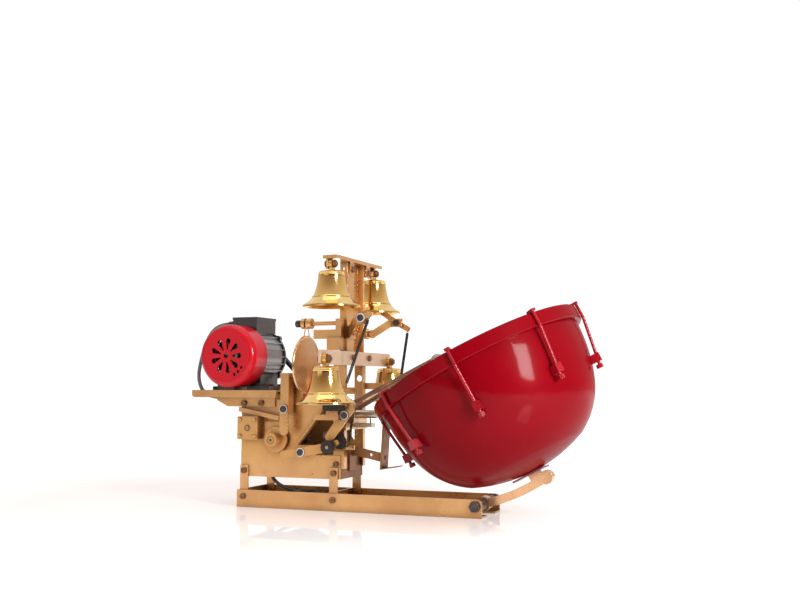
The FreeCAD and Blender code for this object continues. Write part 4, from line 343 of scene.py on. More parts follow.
@dataclass(frozen=True)
class Palette:
    """Every finish on the machine."""

    gold: Finish = Finish(
        "gold_paint", (0.8, 0.45, 0.16), (0.6, 0.3, 0.095), metallic=0.82, smooth=0.22,
        dull=0.4, coat=0.9, coat_rough=0.1, mottle=9.0, grain=1500.0, depth=0.00003,
        edge=0.0007, worn=(0.95, 0.7, 0.4), crease_shade=(0.2, 0.075, 0.025))
    # Lighter copy of the gold paint: a painted reflection of the bright surround, for the mid bar.
    highlit_gold: Finish = Finish(
        "pale_gold_paint", (0.84, 0.62, 0.44), (0.76, 0.52, 0.34), metallic=0.72, smooth=0.24,
        dull=0.4, coat=0.9, coat_rough=0.1, mottle=9.0, grain=1500.0, depth=0.00003,
        edge=0.0007, worn=(0.95, 0.76, 0.54), crease_shade=(0.3, 0.14, 0.07))
    # Darker copy of the gold paint: painted shade for the box ends and the drum rest.
    shaded_gold: Finish = Finish(
        "dull_gold_paint", (0.46, 0.22, 0.09), (0.32, 0.14, 0.05), metallic=0.5, smooth=0.4,
        dull=0.58, coat=0.15, coat_rough=0.3, mottle=12.0, grain=1200.0, depth=0.00004,
        edge=0.0007, worn=(0.7, 0.42, 0.2), crease_shade=(0.12, 0.045, 0.02))
    bronze: Finish = Finish(
        "bronze_paint", (0.85, 0.5, 0.26), (0.6, 0.3, 0.13), metallic=0.85, smooth=0.2,
        dull=0.34, coat=0.7, coat_rough=0.12, mottle=14.0, grain=1200.0, depth=0.00003,
        edge=0.0008, worn=(0.85, 0.6, 0.4), crease_shade=(0.22, 0.09, 0.045))
    brass: Finish = Finish(
        "polished_brass", (0.93, 0.66, 0.25), (0.76, 0.48, 0.15), metallic=1.0, smooth=0.06,
        dull=0.16, way=Way.TURNED, axis=Axis.Z, mottle=22.0, depth=0.000025, edge=0.0004)
    gong_brass: Finish = Finish(
        "gong_brass", (0.88, 0.6, 0.36), (0.74, 0.45, 0.22), metallic=1.0, smooth=0.2,
        dull=0.28, mottle=16.0, grain=42.0, depth=0.00005, edge=0.0005)
    enamel: Finish = Finish(
        "red_enamel", (0.21, 0.0008, 0.005), (0.155, 0.0006, 0.0038), metallic=0.0, smooth=0.28,
        dull=0.38, coat=0.13, coat_rough=0.1, mottle=5.0, grain=220.0, depth=0.000012,
        edge=0.0006, shine=0.02)
    enamel_rod: Finish = Finish(
        "red_enamel_rod", (0.3, 0.003, 0.01), (0.22, 0.002, 0.007), metallic=0.0, smooth=0.26,
        dull=0.4, coat=0.4, coat_rough=0.1, mottle=22.0, grain=600.0, depth=0.00001, edge=0.0,
        shine=0.2)
    enamel_dark: Finish = Finish(
        "dark_red_enamel", (0.2, 0.006, 0.01), (0.12, 0.004, 0.008), metallic=0.0, smooth=0.25,
        dull=0.4, coat=0.5, mottle=12.0, edge=0.0005)
    skin: Finish = Finish(
        "drum_skin", (0.82, 0.77, 0.66), (0.7, 0.62, 0.49), metallic=0.0, smooth=0.4, dull=0.55,
        mottle=7.0, grain=700.0, depth=0.00006, sheen=0.1, edge=0.0)
    cowl: Finish = Finish(
        "red_cowl", (0.55, 0.006, 0.018), (0.44, 0.004, 0.012), metallic=0.0, smooth=0.26,
        dull=0.38, shine=0.08, coat=0.4, coat_rough=0.1, mottle=14.0, grain=1100.0,
        depth=0.00005, edge=0.0008, worn=(0.66, 0.12, 0.12))
    motor: Finish = Finish(
        "motor_grey", (0.3, 0.305, 0.325), (0.23, 0.235, 0.25), metallic=0.3, smooth=0.28,
        dull=0.4, coat=0.6, coat_rough=0.16, mottle=16.0, edge=0.0004, worn=(0.42, 0.42, 0.42))
    black: Finish = Finish(
        "black_paint", (0.022, 0.021, 0.022), (0.012, 0.012, 0.013), metallic=0.0, smooth=0.24,
        dull=0.4, coat=0.8, coat_rough=0.14, mottle=20.0, edge=0.0006, worn=(0.12, 0.11, 0.1))
    bolt: Finish = Finish(
        "painted_bolt", (0.3, 0.155, 0.075), (0.16, 0.075, 0.04), metallic=0.7, smooth=0.34,
        dull=0.52, way=Way.CAST, mottle=110.0, grain=900.0, edge=0.0005,
        worn=(0.62, 0.42, 0.24))
    pin: Finish = Finish(
        "pin_steel", (0.12, 0.1, 0.095), (0.06, 0.05, 0.048), metallic=0.85, smooth=0.28,
        dull=0.45, mottle=80.0, edge=0.0005, worn=(0.45, 0.4, 0.36))
    wire: Finish = Finish(
        "spring_wire", (0.07, 0.068, 0.068), (0.035, 0.034, 0.034), metallic=0.9, smooth=0.25,
        dull=0.42, mottle=120.0, edge=0.0)
    steel: Finish = Finish(
        "turned_steel", (0.34, 0.3, 0.27), (0.22, 0.19, 0.17), metallic=1.0, smooth=0.2,
        dull=0.35, way=Way.TURNED, axis=Axis.Y, mottle=40.0, edge=0.0004)
    iron: Finish = Finish(
        "cast_iron", (0.16, 0.15, 0.145), (0.09, 0.085, 0.08), metallic=0.8, smooth=0.4,
        dull=0.6, way=Way.CAST, mottle=30.0, grain=600.0, depth=0.00008, edge=0.0006,
        worn=(0.42, 0.41, 0.4))
    rubber: Finish = Finish(
        "black_rubber", (0.014, 0.013, 0.013), (0.026, 0.024, 0.023), metallic=0.0, smooth=0.5,
        dull=0.7, mottle=60.0, grain=1600.0, depth=0.00008, edge=0.0006)
    stick: Finish = Finish(
        "stick_wood", (0.3, 0.14, 0.075), (0.12, 0.05, 0.028), metallic=0.0, smooth=0.28,
        dull=0.42, way=Way.FIBROUS, axis=Axis.X, coat=0.5, coat_rough=0.15, mottle=30.0,
        grain=500.0, depth=0.00006, edge=0.0005)
    felt: Finish = Finish(
        "grey_felt", (0.42, 0.39, 0.35), (0.3, 0.27, 0.24), metallic=0.0, smooth=0.85,
        dull=0.95, way=Way.CAST, mottle=90.0, grain=1300.0, depth=0.00018, sheen=0.6, edge=0.0)
    aluminium: Finish = Finish(
        "turned_aluminium", (0.72, 0.68, 0.6), (0.6, 0.56, 0.5), metallic=1.0, smooth=0.25,
        dull=0.38, way=Way.TURNED, axis=Axis.X, mottle=40.0, edge=0.0006)
    sheath: Finish = Finish(
        "cable_sheath", (0.035, 0.035, 0.038), (0.022, 0.022, 0.024), metallic=0.0, smooth=0.4,
        dull=0.55, mottle=50.0, grain=1100.0, depth=0.00004, edge=0.0)
    grey_sheath: Finish = Finish(
        "grey_sheath", (0.2, 0.2, 0.21), (0.14, 0.14, 0.15), metallic=0.0, smooth=0.4,
        dull=0.55, mottle=50.0, grain=1100.0, depth=0.00004, edge=0.0)
    nylon: Finish = Finish(
        "white_washer", (0.8, 0.79, 0.76), (0.68, 0.67, 0.64), metallic=0.0, smooth=0.35,
        dull=0.5, mottle=120.0, edge=0.0003)


class Workshop:
    """Finishes made once, and the calls that put them on pieces."""

    def __init__(self) -> None:
        """Start with no finish made."""
        self.palette = Palette()
        self.made: dict[str, bpy.types.Material] = {}

    def material(self, finish: Finish) -> bpy.types.Material:
        """Material of a finish, built at its first use.

        Args:
            finish: the finish.

        Returns:
            Its material.
        """
        if finish.name not in self.made:
            self.made[finish.name] = finish.make()
        return self.made[finish.name]

    def paint(self, finish: Finish, piece: bpy.types.Object) -> bpy.types.Object:
        """Put a finish on an object.

        Args:
            finish: the finish.
            piece: a mesh or curve object.

        Returns:
            The same object.
        """
        material = self.material(finish)
        if not piece.material_slots:
            piece.data.materials.append(material)
        for slot in piece.material_slots:
            slot.material = material
        return piece

    def dress(self, finish: Finish, *names: str, smooth: float = 35.0) -> None:
        """Finish nodes of the machine.

        Args:
            finish: the finish.
            names: node names.
            smooth: angle in degrees below which faces shade as one.
        """
        for name in names:
            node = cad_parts[name]
            soften(node.data, smooth)
            self.paint(finish, node)
            LOG.info("dressed %s in %s", name, finish.name)


def soften(mesh: bpy.types.Mesh, angle: float) -> None:
    """Shade faces that meet below an angle as one, by corner normals alone.

    Args:
        mesh: the mesh, whose points stay as they are.
        angle: limit in degrees.
    """
    count = len(mesh.vertices)
    points = np.empty(count * 3)
    mesh.vertices.foreach_get("co", points)
    keys = np.round(points.reshape(-1, 3) * POINTS_PER_METRE).astype(np.int64)
    _, where = np.unique(keys, axis=0, return_inverse=True)
    where = where.reshape(-1)
    corners = np.empty(len(mesh.loops), np.int64)
    mesh.loops.foreach_get("vertex_index", corners)
    sizes = np.empty(len(mesh.polygons), np.int64)
    mesh.polygons.foreach_get("loop_total", sizes)
    normals = np.empty(len(mesh.polygons) * 3)
    mesh.polygons.foreach_get("normal", normals)
    areas = np.empty(len(mesh.polygons))
    mesh.polygons.foreach_get("area", areas)
    normals = np.repeat(normals.reshape(-1, 3), sizes, axis=0)
    weights = np.repeat(areas, sizes)[:, None]
    spot = where[corners]
    order = np.argsort(spot, kind="stable")
    edges = np.flatnonzero(np.diff(spot[order])) + 1
    limit = math.cos(math.radians(angle))
    result = normals.copy()
    for group in np.split(order, edges):
        own = normals[group]
        near = (own @ own.T) > limit
        total = near @ (own * weights[group])
        length = np.linalg.norm(total, axis=1, keepdims=True)
        result[group] = np.where(length > TINY, total / np.maximum(length, TINY), own)
    mesh.polygons.foreach_set("use_smooth", np.ones(len(mesh.polygons), bool))
    mesh.normals_split_custom_set(result.tolist())


def metres(points: list[Point]) -> list[Point]:
    """Points in metres from points in millimetres."""
    return [tuple(c * MM for c in point) for point in points]


def link(piece: bpy.types.Object) -> bpy.types.Object:
    """Put an object in the scene."""
    bpy.context.scene.collection.objects.link(piece)
    return piece


def tube_curve(name: str, points: list[Point], radius: float) -> bpy.types.Object:
    """Round tube on a smooth line through a route's control points.

    Args:
        name: object name.
        points: control points in metres.
        radius: tube radius in metres.

    Returns:
        The curve object.
    """
    data = bpy.data.curves.new(name, "CURVE")
    data.dimensions = "3D"
    data.resolution_u = 8
    data.bevel_depth = radius
    data.bevel_resolution = 4
    data.use_fill_caps = True
    line = data.splines.new("NURBS")
    line.points.add(len(points) - 1)
    for spot, place in zip(line.points, points):
        spot.co = (*place, 1.0)
    line.order_u = 3
    line.use_endpoint_u = True
    return link(bpy.data.objects.new(name, data))


def solid_of(curve: bpy.types.Object) -> bpy.types.Object:
    """Mesh object made from a curve object, which goes.

    Args:
        curve: the curve object.

    Returns:
        The mesh object.
    """
    bpy.context.view_layer.update()
    mesh = bpy.data.meshes.new_from_object(curve)
    mesh.name = curve.name + "_mesh"
    name = curve.name
    bpy.data.objects.remove(curve)
    piece = bpy.data.objects.new(name, mesh)
    mesh.polygons.foreach_set("use_smooth", np.ones(len(mesh.polygons), bool))
    return link(piece)


def lathe(name: str, profile: list[tuple[float, float]], centre: Point, axis: Vector,
          steps: int = 40) -> bpy.types.Object:
    """Closed ring turned about an axis.

    Args:
        name: object name.
        profile: closed section as (radius, height) in metres.
        centre: where the axis starts.
        axis: direction of the axis.
        steps: number of steps round the axis.

    Returns:
        The mesh object.
    """
    turn = axis.normalized().to_track_quat("Z", "Y").to_matrix()
    points = []
    faces = []
    count = len(profile)
    for step in range(steps):
        angle = 2 * math.pi * step / steps
        for radius, height in profile:
            spot = turn @ Vector((radius * math.cos(angle), radius * math.sin(angle), height))
            points.append(tuple(spot + Vector(centre)))
        for number in range(count):
            after = (number + 1) % count
            ahead = (step + 1) % steps
            faces.append((step * count + number, ahead * count + number, ahead * count + after,
                          step * count + after))
    mesh = bpy.data.meshes.new(name)
    mesh.from_pydata(points, [], faces)
    if any(radius == 0 for radius, _ in profile):
        work = bmesh.new()
        work.from_mesh(mesh)
        bmesh.ops.remove_doubles(work, verts=work.verts, dist=1 / POINTS_PER_METRE)
        work.to_mesh(mesh)
        work.free()
    mesh.update()
    soften(mesh, FLAT_ANGLE)
    return link(bpy.data.objects.new(name, mesh))


@dataclass(frozen=True)
class Lamp:
    """One soft box: where it hangs, what it points at, its width and height, and its watts."""

    name: str
    place: Point
    aim: Point
    size: tuple[float, float]
    power: float

    def hang(self) -> None:
        """Hang it."""
        data = bpy.data.lights.new(self.name, "AREA")
        data.shape = "RECTANGLE"
        data.size, data.size_y = self.size
        data.energy = self.power
        lamp = link(bpy.data.objects.new(self.name, data))
        lamp.location = self.place
        way = Vector(self.aim) - Vector(self.place)
        lamp.rotation_euler = way.to_track_quat("-Z", "Y").to_euler()


@dataclass
class Studio:
    """Camera, light and floor round the machine."""

    lamps: tuple[Lamp, ...] = (
        Lamp("wide_left", (-0.75, -2.3, 0.45), (0.25, 0.0, 0.1), (1.8, 0.8), 3.1),
        Lamp("strip_right", (2.04, -1.01, 0.76), (0.55, -0.13, 0.26), (0.46, 0.8), 46.0),
        Lamp("top", (0.25, -0.35, 2.3), (0.25, -0.2, 0.0), (1.8, 1.8), 8.0))
    sky_lean: Point = (-0.1, 0.4, 0.9)
    sky_span: tuple[float, float] = (-0.3, 0.75)
    sky_light: tuple[float, float] = (0.12, 0.92)
    sky_warmth: Colour = (1.0, 0.56, 0.36)
    backdrop: float = 1.1
    floor_sides: tuple[float, float] = (-3.0, 3.6)
    floor_depth: tuple[float, float] = (-1.15, 5.0)
    floor_drop: float = 0.0004
    station: Point = (0.9991, -1.7639, 0.2323)
    turn: float = 21.813
    rise: float = 4.6
    lens: float = 46.3

    def camera(self) -> None:
        """Stand the camera at the viewing angle."""
        data = bpy.data.cameras.new("camera")
        data.lens = self.lens
        data.sensor_width = 36.0
        data.sensor_fit = "HORIZONTAL"
        data.clip_end = 50.0
        yaw, pitch = math.radians(self.turn), math.radians(self.rise)
        ahead = Vector((-math.sin(yaw) * math.cos(pitch), math.cos(yaw) * math.cos(pitch),
                        math.sin(pitch)))
        right = Vector((math.cos(yaw), math.sin(yaw), 0.0))
        up = right.cross(ahead)
        view = Matrix((right, up, -ahead)).transposed().to_4x4()
        view.translation = Vector(self.station)
        camera = link(bpy.data.objects.new("camera", data))
        camera.matrix_world = view
        bpy.context.scene.camera = camera

    def sky(self) -> None:
        """White surround, brightest overhead, darker and warmer behind the camera."""
        world = bpy.data.worlds.new("surround")
        bpy.context.scene.world = world
        world.use_nodes = True
        nodes, links = world.node_tree.nodes, world.node_tree.links
        plain = nodes["Background"]
        place = nodes.new("ShaderNodeTexCoord")
        lean = nodes.new("ShaderNodeVectorMath")
        lean.operation = "DOT_PRODUCT"
        lean.inputs[1].default_value = self.sky_lean
        links.new(place.outputs["Generated"], lean.inputs[0])
        ramp = nodes.new("ShaderNodeMapRange")
        names = ("From Min", "From Max", "To Min", "To Max")
        for name, value in zip(names, self.sky_span + self.sky_light):
            ramp.inputs[name].default_value = value
        links.new(lean.outputs["Value"], ramp.inputs["Value"])
        links.new(ramp.outputs["Result"], plain.inputs["Strength"])
        tint = nodes.new("ShaderNodeMix")
        tint.data_type = "RGBA"
        tint.inputs[6].default_value = (*self.sky_warmth, 1.0)
        tint.inputs[7].default_value = (*WHITE, 1.0)
        links.new(ramp.outputs["Result"], tint.inputs[0])
        links.new(tint.outputs[2], plain.inputs["Color"])
        seen = nodes.new("ShaderNodeBackground")
        seen.inputs["Color"].default_value = (*WHITE, 1.0)
        seen.inputs["Strength"].default_value = self.backdrop
        path = nodes.new("ShaderNodeLightPath")
        mix = nodes.new("ShaderNodeMixShader")
        links.new(path.outputs["Is Camera Ray"], mix.inputs["Fac"])
        links.new(plain.outputs["Background"], mix.inputs[1])
        links.new(seen.outputs["Background"], mix.inputs[2])
        links.new(mix.outputs["Shader"], nodes["World Output"].inputs["Surface"])

    def floor(self) -> None:
        """Pale smooth floor that mirrors the machine softly, with a painted glow that makes it fade
        to white away from it.
        """
        bench = Bench("pale_floor")
        patch = bench.noise(bench.position(), 3.0)
        colour = bench.blend(patch, (0.93, 0.93, 0.93), (0.9, 0.9, 0.905))
        bench.join(colour, bench.shader.inputs["Base Color"])
        bench.join(bench.spread(patch, 0.02, 0.04), bench.shader.inputs["Roughness"])
        bench.set("Specular IOR Level", 0.3)
        # Painted light: the floor glows white, weakly near the machine and fully far from it.
        bench.set("Emission Color", WHITE)
        span = bench.add("VectorMath", operation="LENGTH")
        bench.join(bench.position(), span.inputs[0])
        glow = bench.spread(span.outputs["Value"], 0.24, 1.0, start=0.45, end=2.2)
        bench.join(glow, bench.shader.inputs["Emission Strength"])
        mesh = bpy.data.meshes.new("floor")
        left, right = self.floor_sides
        near, far = self.floor_depth
        mesh.from_pydata([(left, near, 0), (right, near, 0), (right, far, 0), (left, far, 0)],
                         [], [(0, 1, 2, 3)])
        mesh.materials.append(bench.material)
        floor = link(bpy.data.objects.new("floor", mesh))
        floor.location.z = -self.floor_drop

    def build(self) -> None:
        """Set the whole studio up."""
        bpy.context.scene.view_settings.view_transform = "Standard"
        self.camera()
        self.sky()
        self.floor()
        for lamp in self.lamps:
            lamp.hang()
        LOG.info("studio set")


@dataclass
class Leads:
    """Mains lead with its coil and plug, and the lead down from the motor."""

    mains_radius: float = 0.0032
    motor_radius: float = 0.0035
    mains_length: float = 1.65
    motor_length: float = 0.31
    mains_route: list[Point] = field(default_factory=lambda: [
        (62, -39, 174.8), (52, -40, 140), (46, -39, 100), (45, -38, 62), (60, -38, 44),
        (84, -34, 34), (101, -24, 29.5), (107, -6, 27.6), (113, 10, 27.2)])
    tail: list[Point] = field(default_factory=lambda: [
        (80, -25.6, 7.1), (68, -25.6, 8.6), (55.1, -25.6, 12.2)])
    motor_route: list[Point] = field(default_factory=lambda: [
        (-58.3, -20, 347), (-82, -20, 346), (-103, -25, 324), (-111, -40, 272), (-106, -54, 240),
        (-92, -59, 214), (-74, -47, 204), (-42, -38, 206), (-8, -36, 208), (20, -35, 203),
        (43.6, -35, 190.5)])
    coil_middle: float = 113.0
    coil_run: float = 26.2
    straight: float = 13.0
    bend_step: float = 45.0
    bend_points: int = 4
    inner: float = 19.1
    outer: float = 25.6
    layers: Point = (20.3, 13.7, 7.1)

    def coil_points(self) -> list[Point]:
        """Turns of the oval coil, from the top layer down and clockwise from above.

        Returns:
            Control points in millimetres, twelve to a turn.
        """
        top, middle, low = self.layers
        lanes = [(self.inner, top), (self.outer, top), (self.outer, middle), (self.inner, middle),
                 (self.inner, low), (self.outer, low)]
        half = self.bend_step / 2
        corner = 1.0 / math.cos(math.radians(half))
        points = []
        left, right = self.coil_middle - self.straight, self.coil_middle + self.straight
        for ring, height in lanes:
            points += [(left, ring, height), (right, ring, height)]
            for side, first in ((1, 90 - half), (-1, -90 - half)):
                bend = self.coil_middle + side * self.coil_run
                for step in range(self.bend_points):
                    angle = math.radians(first - self.bend_step * step)
                    points.append((bend + ring * corner * math.cos(angle),
                                   ring * corner * math.sin(angle), height))
                if side > 0:
                    points += [(right, -ring, height), (left, -ring, height)]
        return points[1:-4]

    def build(self, shop: Workshop) -> None:
        """Lay both leads and dress what is on them.

        Args:
            shop: the workshop.
        """
        route = metres(self.mains_route + self.coil_points() + self.tail)
        mains = tube_curve("mains_lead_line", route, self.mains_radius)
        shop.paint(shop.palette.sheath, mains)
        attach(mains, "frame")
        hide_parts("mains_lead", "mains_coil")
        shop.dress(shop.palette.sheath, "mains_plug", "coil_tie")
        route = metres(self.motor_route)
        motor = tube_curve("motor_lead_line", route, self.motor_radius)
        shop.paint(shop.palette.grey_sheath, motor)
        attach(motor, "frame")
        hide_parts("motor_lead")
        LOG.info("leads laid")


@dataclass
class SpringWire:
    """One close wound tension spring with a hook at each end."""

    name: str
    foot: Point
    head: Point
    coil: float
    wire: float
    pitch: float
    lead: float = 7.0
    hook: float = 2.6
    hook_steps: int = 6
    turn_steps: int = 10

    def line(self) -> list[Point]:
        """Centre line of the wire.

        Returns:
            Points in metres.
        """
        foot, head = Vector(self.foot) * MM, Vector(self.head) * MM
        way = (head - foot).normalized()
        side = way.orthogonal().normalized()
        other = way.cross(side)
        long = (head - foot).length
        radius = (self.coil - self.wire) * MM
        lead, hook = self.lead * MM, self.hook * MM
        points = []
        for step in range(self.hook_steps + 1):
            angle = math.pi * (1.15 - step / self.hook_steps)
            points.append(foot + way * (hook + radius * math.cos(angle))
                          + side * radius * math.sin(angle))
        wound = long - 2 * lead
        steps = int(wound / (self.pitch * MM) * self.turn_steps)
        for step in range(steps + 1):
            angle = 2 * math.pi * step / self.turn_steps
            points.append(foot + way * (lead + wound * step / steps)
                          + (side * math.cos(angle) + other * math.sin(angle)) * radius)
        for step in range(self.hook_steps + 1):
            angle = math.pi * (step / self.hook_steps - 0.15)
            points.append(head - way * (hook + radius * math.cos(angle))
                          + side * radius * math.sin(angle))
        return [tuple(p) for p in points]

    def build(self, shop: Workshop, body: str) -> None:
        """Wind the spring between its two ends.

        Args:
            shop: the workshop.
            body: body that the head end follows; not used.
        """
        data = bpy.data.curves.new(self.name + "_wire", "CURVE")
        data.dimensions = "3D"
        data.bevel_depth = self.wire * MM
        data.bevel_resolution = 1
        data.use_fill_caps = True
        points = self.line()
        line = data.splines.new("POLY")
        line.points.add(len(points) - 1)
        for spot, place in zip(line.points, points):
            spot.co = (*place, 1.0)
        piece = solid_of(link(bpy.data.objects.new(self.name + "_wire", data)))
        shop.paint(shop.palette.wire, piece)
        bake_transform(piece)
        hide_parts(self.name)
        LOG.info("wound %s", self.name)


@dataclass
class Springs:
    """The three return springs, each by the body that its head follows."""

    wires: dict[str, SpringWire] = field(default_factory=lambda: {
        "hammer_near": SpringWire("spring_near", (223, -87.6, 225.5), (268.9, -87.6, 350.2),
                                  coil=3.0, wire=0.62, pitch=1.35),
        "hammer_far": SpringWire("spring_far", (258.6, 87.6, 232.9), (274.6, 87.6, 335.2),
                                 coil=3.0, wire=0.62, pitch=1.35),
        "right_lever": SpringWire("short_spring", (220.5, -68, 120), (229, -68, 174),
                                  coil=2.6, wire=0.6, pitch=1.3)})

    def build(self, shop: Workshop) -> None:
        """Wind all three."""
        for body, wire in self.wires.items():
            wire.build(shop, body)


@dataclass
class Structure:
    """Base frame, enclosure, platform and tower."""

    painted: tuple[str, ...] = (
        "base_frame", "legs", "box_front_plate", "box_back_plate", "bearing_blocks",
        "motor_platform", "tower_angles", "top_beam", "tower_plates", "hammer_carriers",
        "gong_hanger")

    def build(self, shop: Workshop) -> None:
        """Paint the structure and its bolts.

        Args:
            shop: the workshop.
        """
        shop.dress(shop.palette.gold, *self.painted)
        # The mid bar gets the lighter copy of the gold paint, a painted reflection.
        shop.dress(shop.palette.highlit_gold, "mid_bar")
        # Box ends and drum rest get the darker copy of the gold paint, painted shade.
        shop.dress(shop.palette.shaded_gold, "box_ends", "drum_rest")
        shop.dress(shop.palette.bolt, "frame_bolts")
        shop.dress(shop.palette.pin, "pivot_pins")
        shop.dress(shop.palette.aluminium, "drum_stop")


@dataclass
class Drive:
    """Motor, belt, pulleys, gears and shafts."""

    def build(self, shop: Workshop) -> None:
        """Finish the drive.

        Args:
            shop: the workshop.
        """
        colours = shop.palette
        shop.dress(colours.cowl, "motor_cowl")
        shop.dress(colours.motor, "motor_body")
        shop.dress(colours.black, "motor_castings", "terminal_boxes")
        shop.dress(colours.rubber, "v_belt")
        shop.dress(colours.iron, "large_pulley", "motor_pulley", "cam_gear", "lay_pinion")
        shop.dress(colours.steel, "cam_shaft", "motor_shaft")
        shop.dress(colours.gold, "cam_disc", "lay_shaft")


@dataclass
class Levers:
    """Levers, hammers and beaters, with the washers on their pins."""

    inner: float = 6.3
    outer: float = 8.1
    thick: float = 0.5
    spots: dict[str, Point] = field(default_factory=lambda: {
        "gong_lever_washer": (94.3, -80.3, 184), "lower_lever_washer": (128, -77.3, 106),
        "right_lever_washer": (213, -71.3, 173.4), "hammer_washer": (253, -89.7, 348)})

    def washers(self, shop: Workshop) -> None:
        """White washers behind the clips of the lever pins.

        Args:
            shop: the workshop.
        """
        ring = [(self.inner * MM, 0.0), (self.outer * MM, 0.0), (self.outer * MM, self.thick * MM),
                (self.inner * MM, self.thick * MM)]
        for name, place in self.spots.items():
            piece = lathe(name, ring, metres([place])[0], Vector((0, -1, 0)))
            shop.paint(shop.palette.nylon, piece)
            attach(piece, "frame")
            LOG.info("set %s", name)

    def build(self, shop: Workshop) -> None:
        """Finish every lever.

        Args:
            shop: the workshop.
        """
        colours = shop.palette
        shop.dress(colours.gold, "gong_lever", "lower_lever", "right_lever",
                   "hammer_near", "hammer_far")
        shop.dress(colours.rubber, "rubber_rollers", "striker_block")
        shop.dress(colours.stick, "beater_near", "beater_far")
        shop.dress(colours.felt, "beater_head_near", "beater_head_far")
        self.washers(shop)


@dataclass
class Bell:
    """Turned bell with a step at the shoulder, a bead at the waist and a flat hanging eye."""

    node: str
    bolt: Point
    eye: float = 9.0
    eye_wide: float = 7.0
    hole: float = 4.15
    neck: float = 6.0
    neck_foot: float = 13.0
    neck_start: float = 0.3
    eye_steps: int = 48
    wall_steps: int = 72

    def profile(self) -> list[tuple[float, float]]:
        """Section of the bell's wall, outside down and inside up.

        Returns:
            Radius and height below the bolt, in millimetres.
        """
        outside = [
            (0.0, -12.2), (17.0, -12.6), (20.6, -13.3), (22.8, -14.8), (23.8, -17.0),
            (23.5, -18.0), (24.3, -18.5), (24.9, -19.8), (24.4, -21.2), (24.6, -24.0),
            (25.6, -31.0), (27.0, -39.0), (29.0, -47.0), (31.4, -54.0), (32.7, -57.0),
            (33.0, -58.0), (34.6, -58.6), (35.6, -60.0), (35.6, -61.6), (36.4, -62.8),
            (38.4, -65.2), (41.8, -68.4), (46.0, -71.4), (50.0, -73.6), (51.8, -75.0),
            (52.4, -76.6), (52.3, -78.2), (51.2, -79.0)]
        inside = [
            (49.2, -78.9), (46.6, -77.0), (42.0, -73.4), (38.4, -69.6), (35.6, -65.4),
            (33.4, -61.0), (30.4, -55.6), (27.0, -47.0), (24.9, -39.0), (23.5, -31.0),
            (22.6, -23.0), (20.8, -18.0), (17.0, -15.8), (0.0, -15.4)]
        return outside + inside

    def eye_mesh(self) -> tuple[list[Point], list[tuple[int, ...]]]:
        """Flat eye with its bolt hole, standing across X.

        Returns:
            Points in millimetres round the bolt, and faces.
        """
        steps = self.eye_steps
        points = []
        for side in (-0.5, 0.5):
            for step in range(steps):
                angle = 2 * math.pi * step / steps
                across, down = math.sin(angle), math.cos(angle)
                reach = self.eye
                if down > self.neck_start:
                    flank = self.neck / max(abs(across), 0.01)
                    reach = max(reach, min(flank, self.neck_foot / down))
                for radius in (self.hole, reach):
                    points.append((side * self.eye_wide, radius * across, -radius * down))
        faces = []
        for step in range(steps):
            a, b = 2 * step, 2 * ((step + 1) % steps)
            c, d = a + 2 * steps, b + 2 * steps
            faces += [(a, b, b + 1, a + 1), (c, c + 1, d + 1, d),
                      (a + 1, b + 1, d + 1, c + 1), (a, c, d, b)]
        return points, faces

    def build(self, shop: Workshop) -> None:
        """Turn the bell and hang it on its body.

        Args:
            shop: the workshop.
        """
        bolt = metres([self.bolt])[0]
        section = [(radius * MM, height * MM) for radius, height in self.profile()]
        body = lathe(self.node + "_turned", section, bolt, Vector((0, 0, 1)), self.wall_steps)
        points, faces = self.eye_mesh()
        mesh = bpy.data.meshes.new(self.node + "_eye")
        mesh.from_pydata([tuple(c * MM + o for c, o in zip(p, bolt)) for p in points], [], faces)
        mesh.update()
        soften(mesh, FLAT_ANGLE)
        eye = link(bpy.data.objects.new(self.node + "_eye", mesh))
        for piece in (body, eye):
            shop.paint(shop.palette.brass, piece)
            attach(piece, self.node)
        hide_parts(self.node)
        LOG.info("turned %s", self.node)


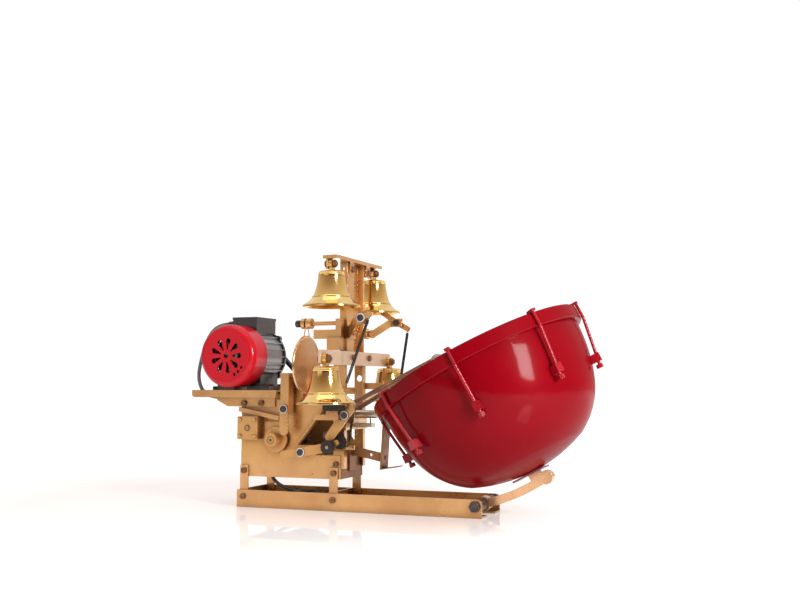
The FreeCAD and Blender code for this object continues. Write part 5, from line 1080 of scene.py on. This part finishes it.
@dataclass
class Sounders:
    """Bells, gong and drum."""

    bolts: dict[str, Point] = field(default_factory=lambda: {
        "bell_upper_near": (198.5, -95, 446.5), "bell_upper_far": (198.5, 95, 446.5),
        "bell_lower_near": (211.9, -145, 274), "bell_lower_far": (211.9, 145, 274)})

    def build(self, shop: Workshop) -> None:
        """Finish all that is struck.

        Args:
            shop: the workshop.
        """
        colours = shop.palette
        for node, bolt in self.bolts.items():
            Bell(node, bolt).build(shop)
        shop.dress(colours.gong_brass, "gong")
        shop.dress(colours.enamel, "drum_shell", "drum_hoop")
        shop.dress(colours.enamel_rod, "drum_hooks", smooth=50.0)
        shop.dress(colours.enamel_dark, "drum_saddle")
        shop.dress(colours.bronze, "drum_arm")
        shop.dress(colours.skin, "drum_head")


@dataclass(frozen=True)
class Ring:
    """One small turned piece on a shaft's or rod's end."""

    name: str
    body: str
    place: Point
    axis: Point
    profile: tuple[tuple[float, float], ...]

    def build(self, shop: Workshop, finish: Finish) -> None:
        """Turn it and set it on its body.

        Args:
            shop: the workshop.
            finish: its finish.
        """
        section = [(radius * MM, height * MM) for radius, height in self.profile]
        piece = lathe(self.name, section, metres([self.place])[0], Vector(self.axis))
        shop.paint(finish, piece)
        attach(piece, self.body)
        LOG.info("set %s", self.name)


@dataclass
class Ends:
    """Knob of the gong's rod, and thin black discs and rings of painted shade in the centres and
    gaps of the crank disc's hub and the lay shaft's end.
    """

    rings: tuple[Ring, ...] = (
        Ring("gong_rod_knob", "frame", (112, -50, 342), (-1, 0, 0),
             ((0, 0), (6.7, 0), (6.7, 6.6), (5.8, 7.8), (0, 7.8))),
        Ring("crank_hub_centre_shade", "cam", (67, -78, 127), (0, -1, 0),
             ((0, 0), (2.4, 0), (2.0, 0.4), (0, 0.4))),
        Ring("crank_hub_gap_shade", "cam", (67, -78, 127), (0, -1, 0),
             ((6.3, 0), (7.0, 0), (7.0, 0.25), (6.3, 0.25))),
        Ring("lay_shaft_gap_shade", "lay", (13.0, -71, 148.163), (0, -1, 0),
             ((3.7, 0), (5.2, 0), (5.2, 0.25), (3.7, 0.25))),
        Ring("lay_shaft_centre_shade", "lay", (13.0, -71, 148.163), (0, -1, 0),
             ((0, 0), (1.1, 0), (1.1, 0.25), (0, 0.25))))

    def build(self, shop: Workshop) -> None:
        """Set them all."""
        for ring in self.rings:
            # Black for the knob; on the thin discs and rings the black is painted shade.
            ring.build(shop, shop.palette.black)


def main() -> None:
    """Build and dress the machine, one sub-assembly after another."""
    logging.basicConfig(level=logging.INFO, format="%(message)s")
    shop = Workshop()
    Studio().build()
    Leads().build(shop)
    Structure().build(shop)
    Drive().build(shop)
    Levers().build(shop)
    Springs().build(shop)
    Sounders().build(shop)
    Ends().build(shop)


if __name__ == "__main__":
    main()
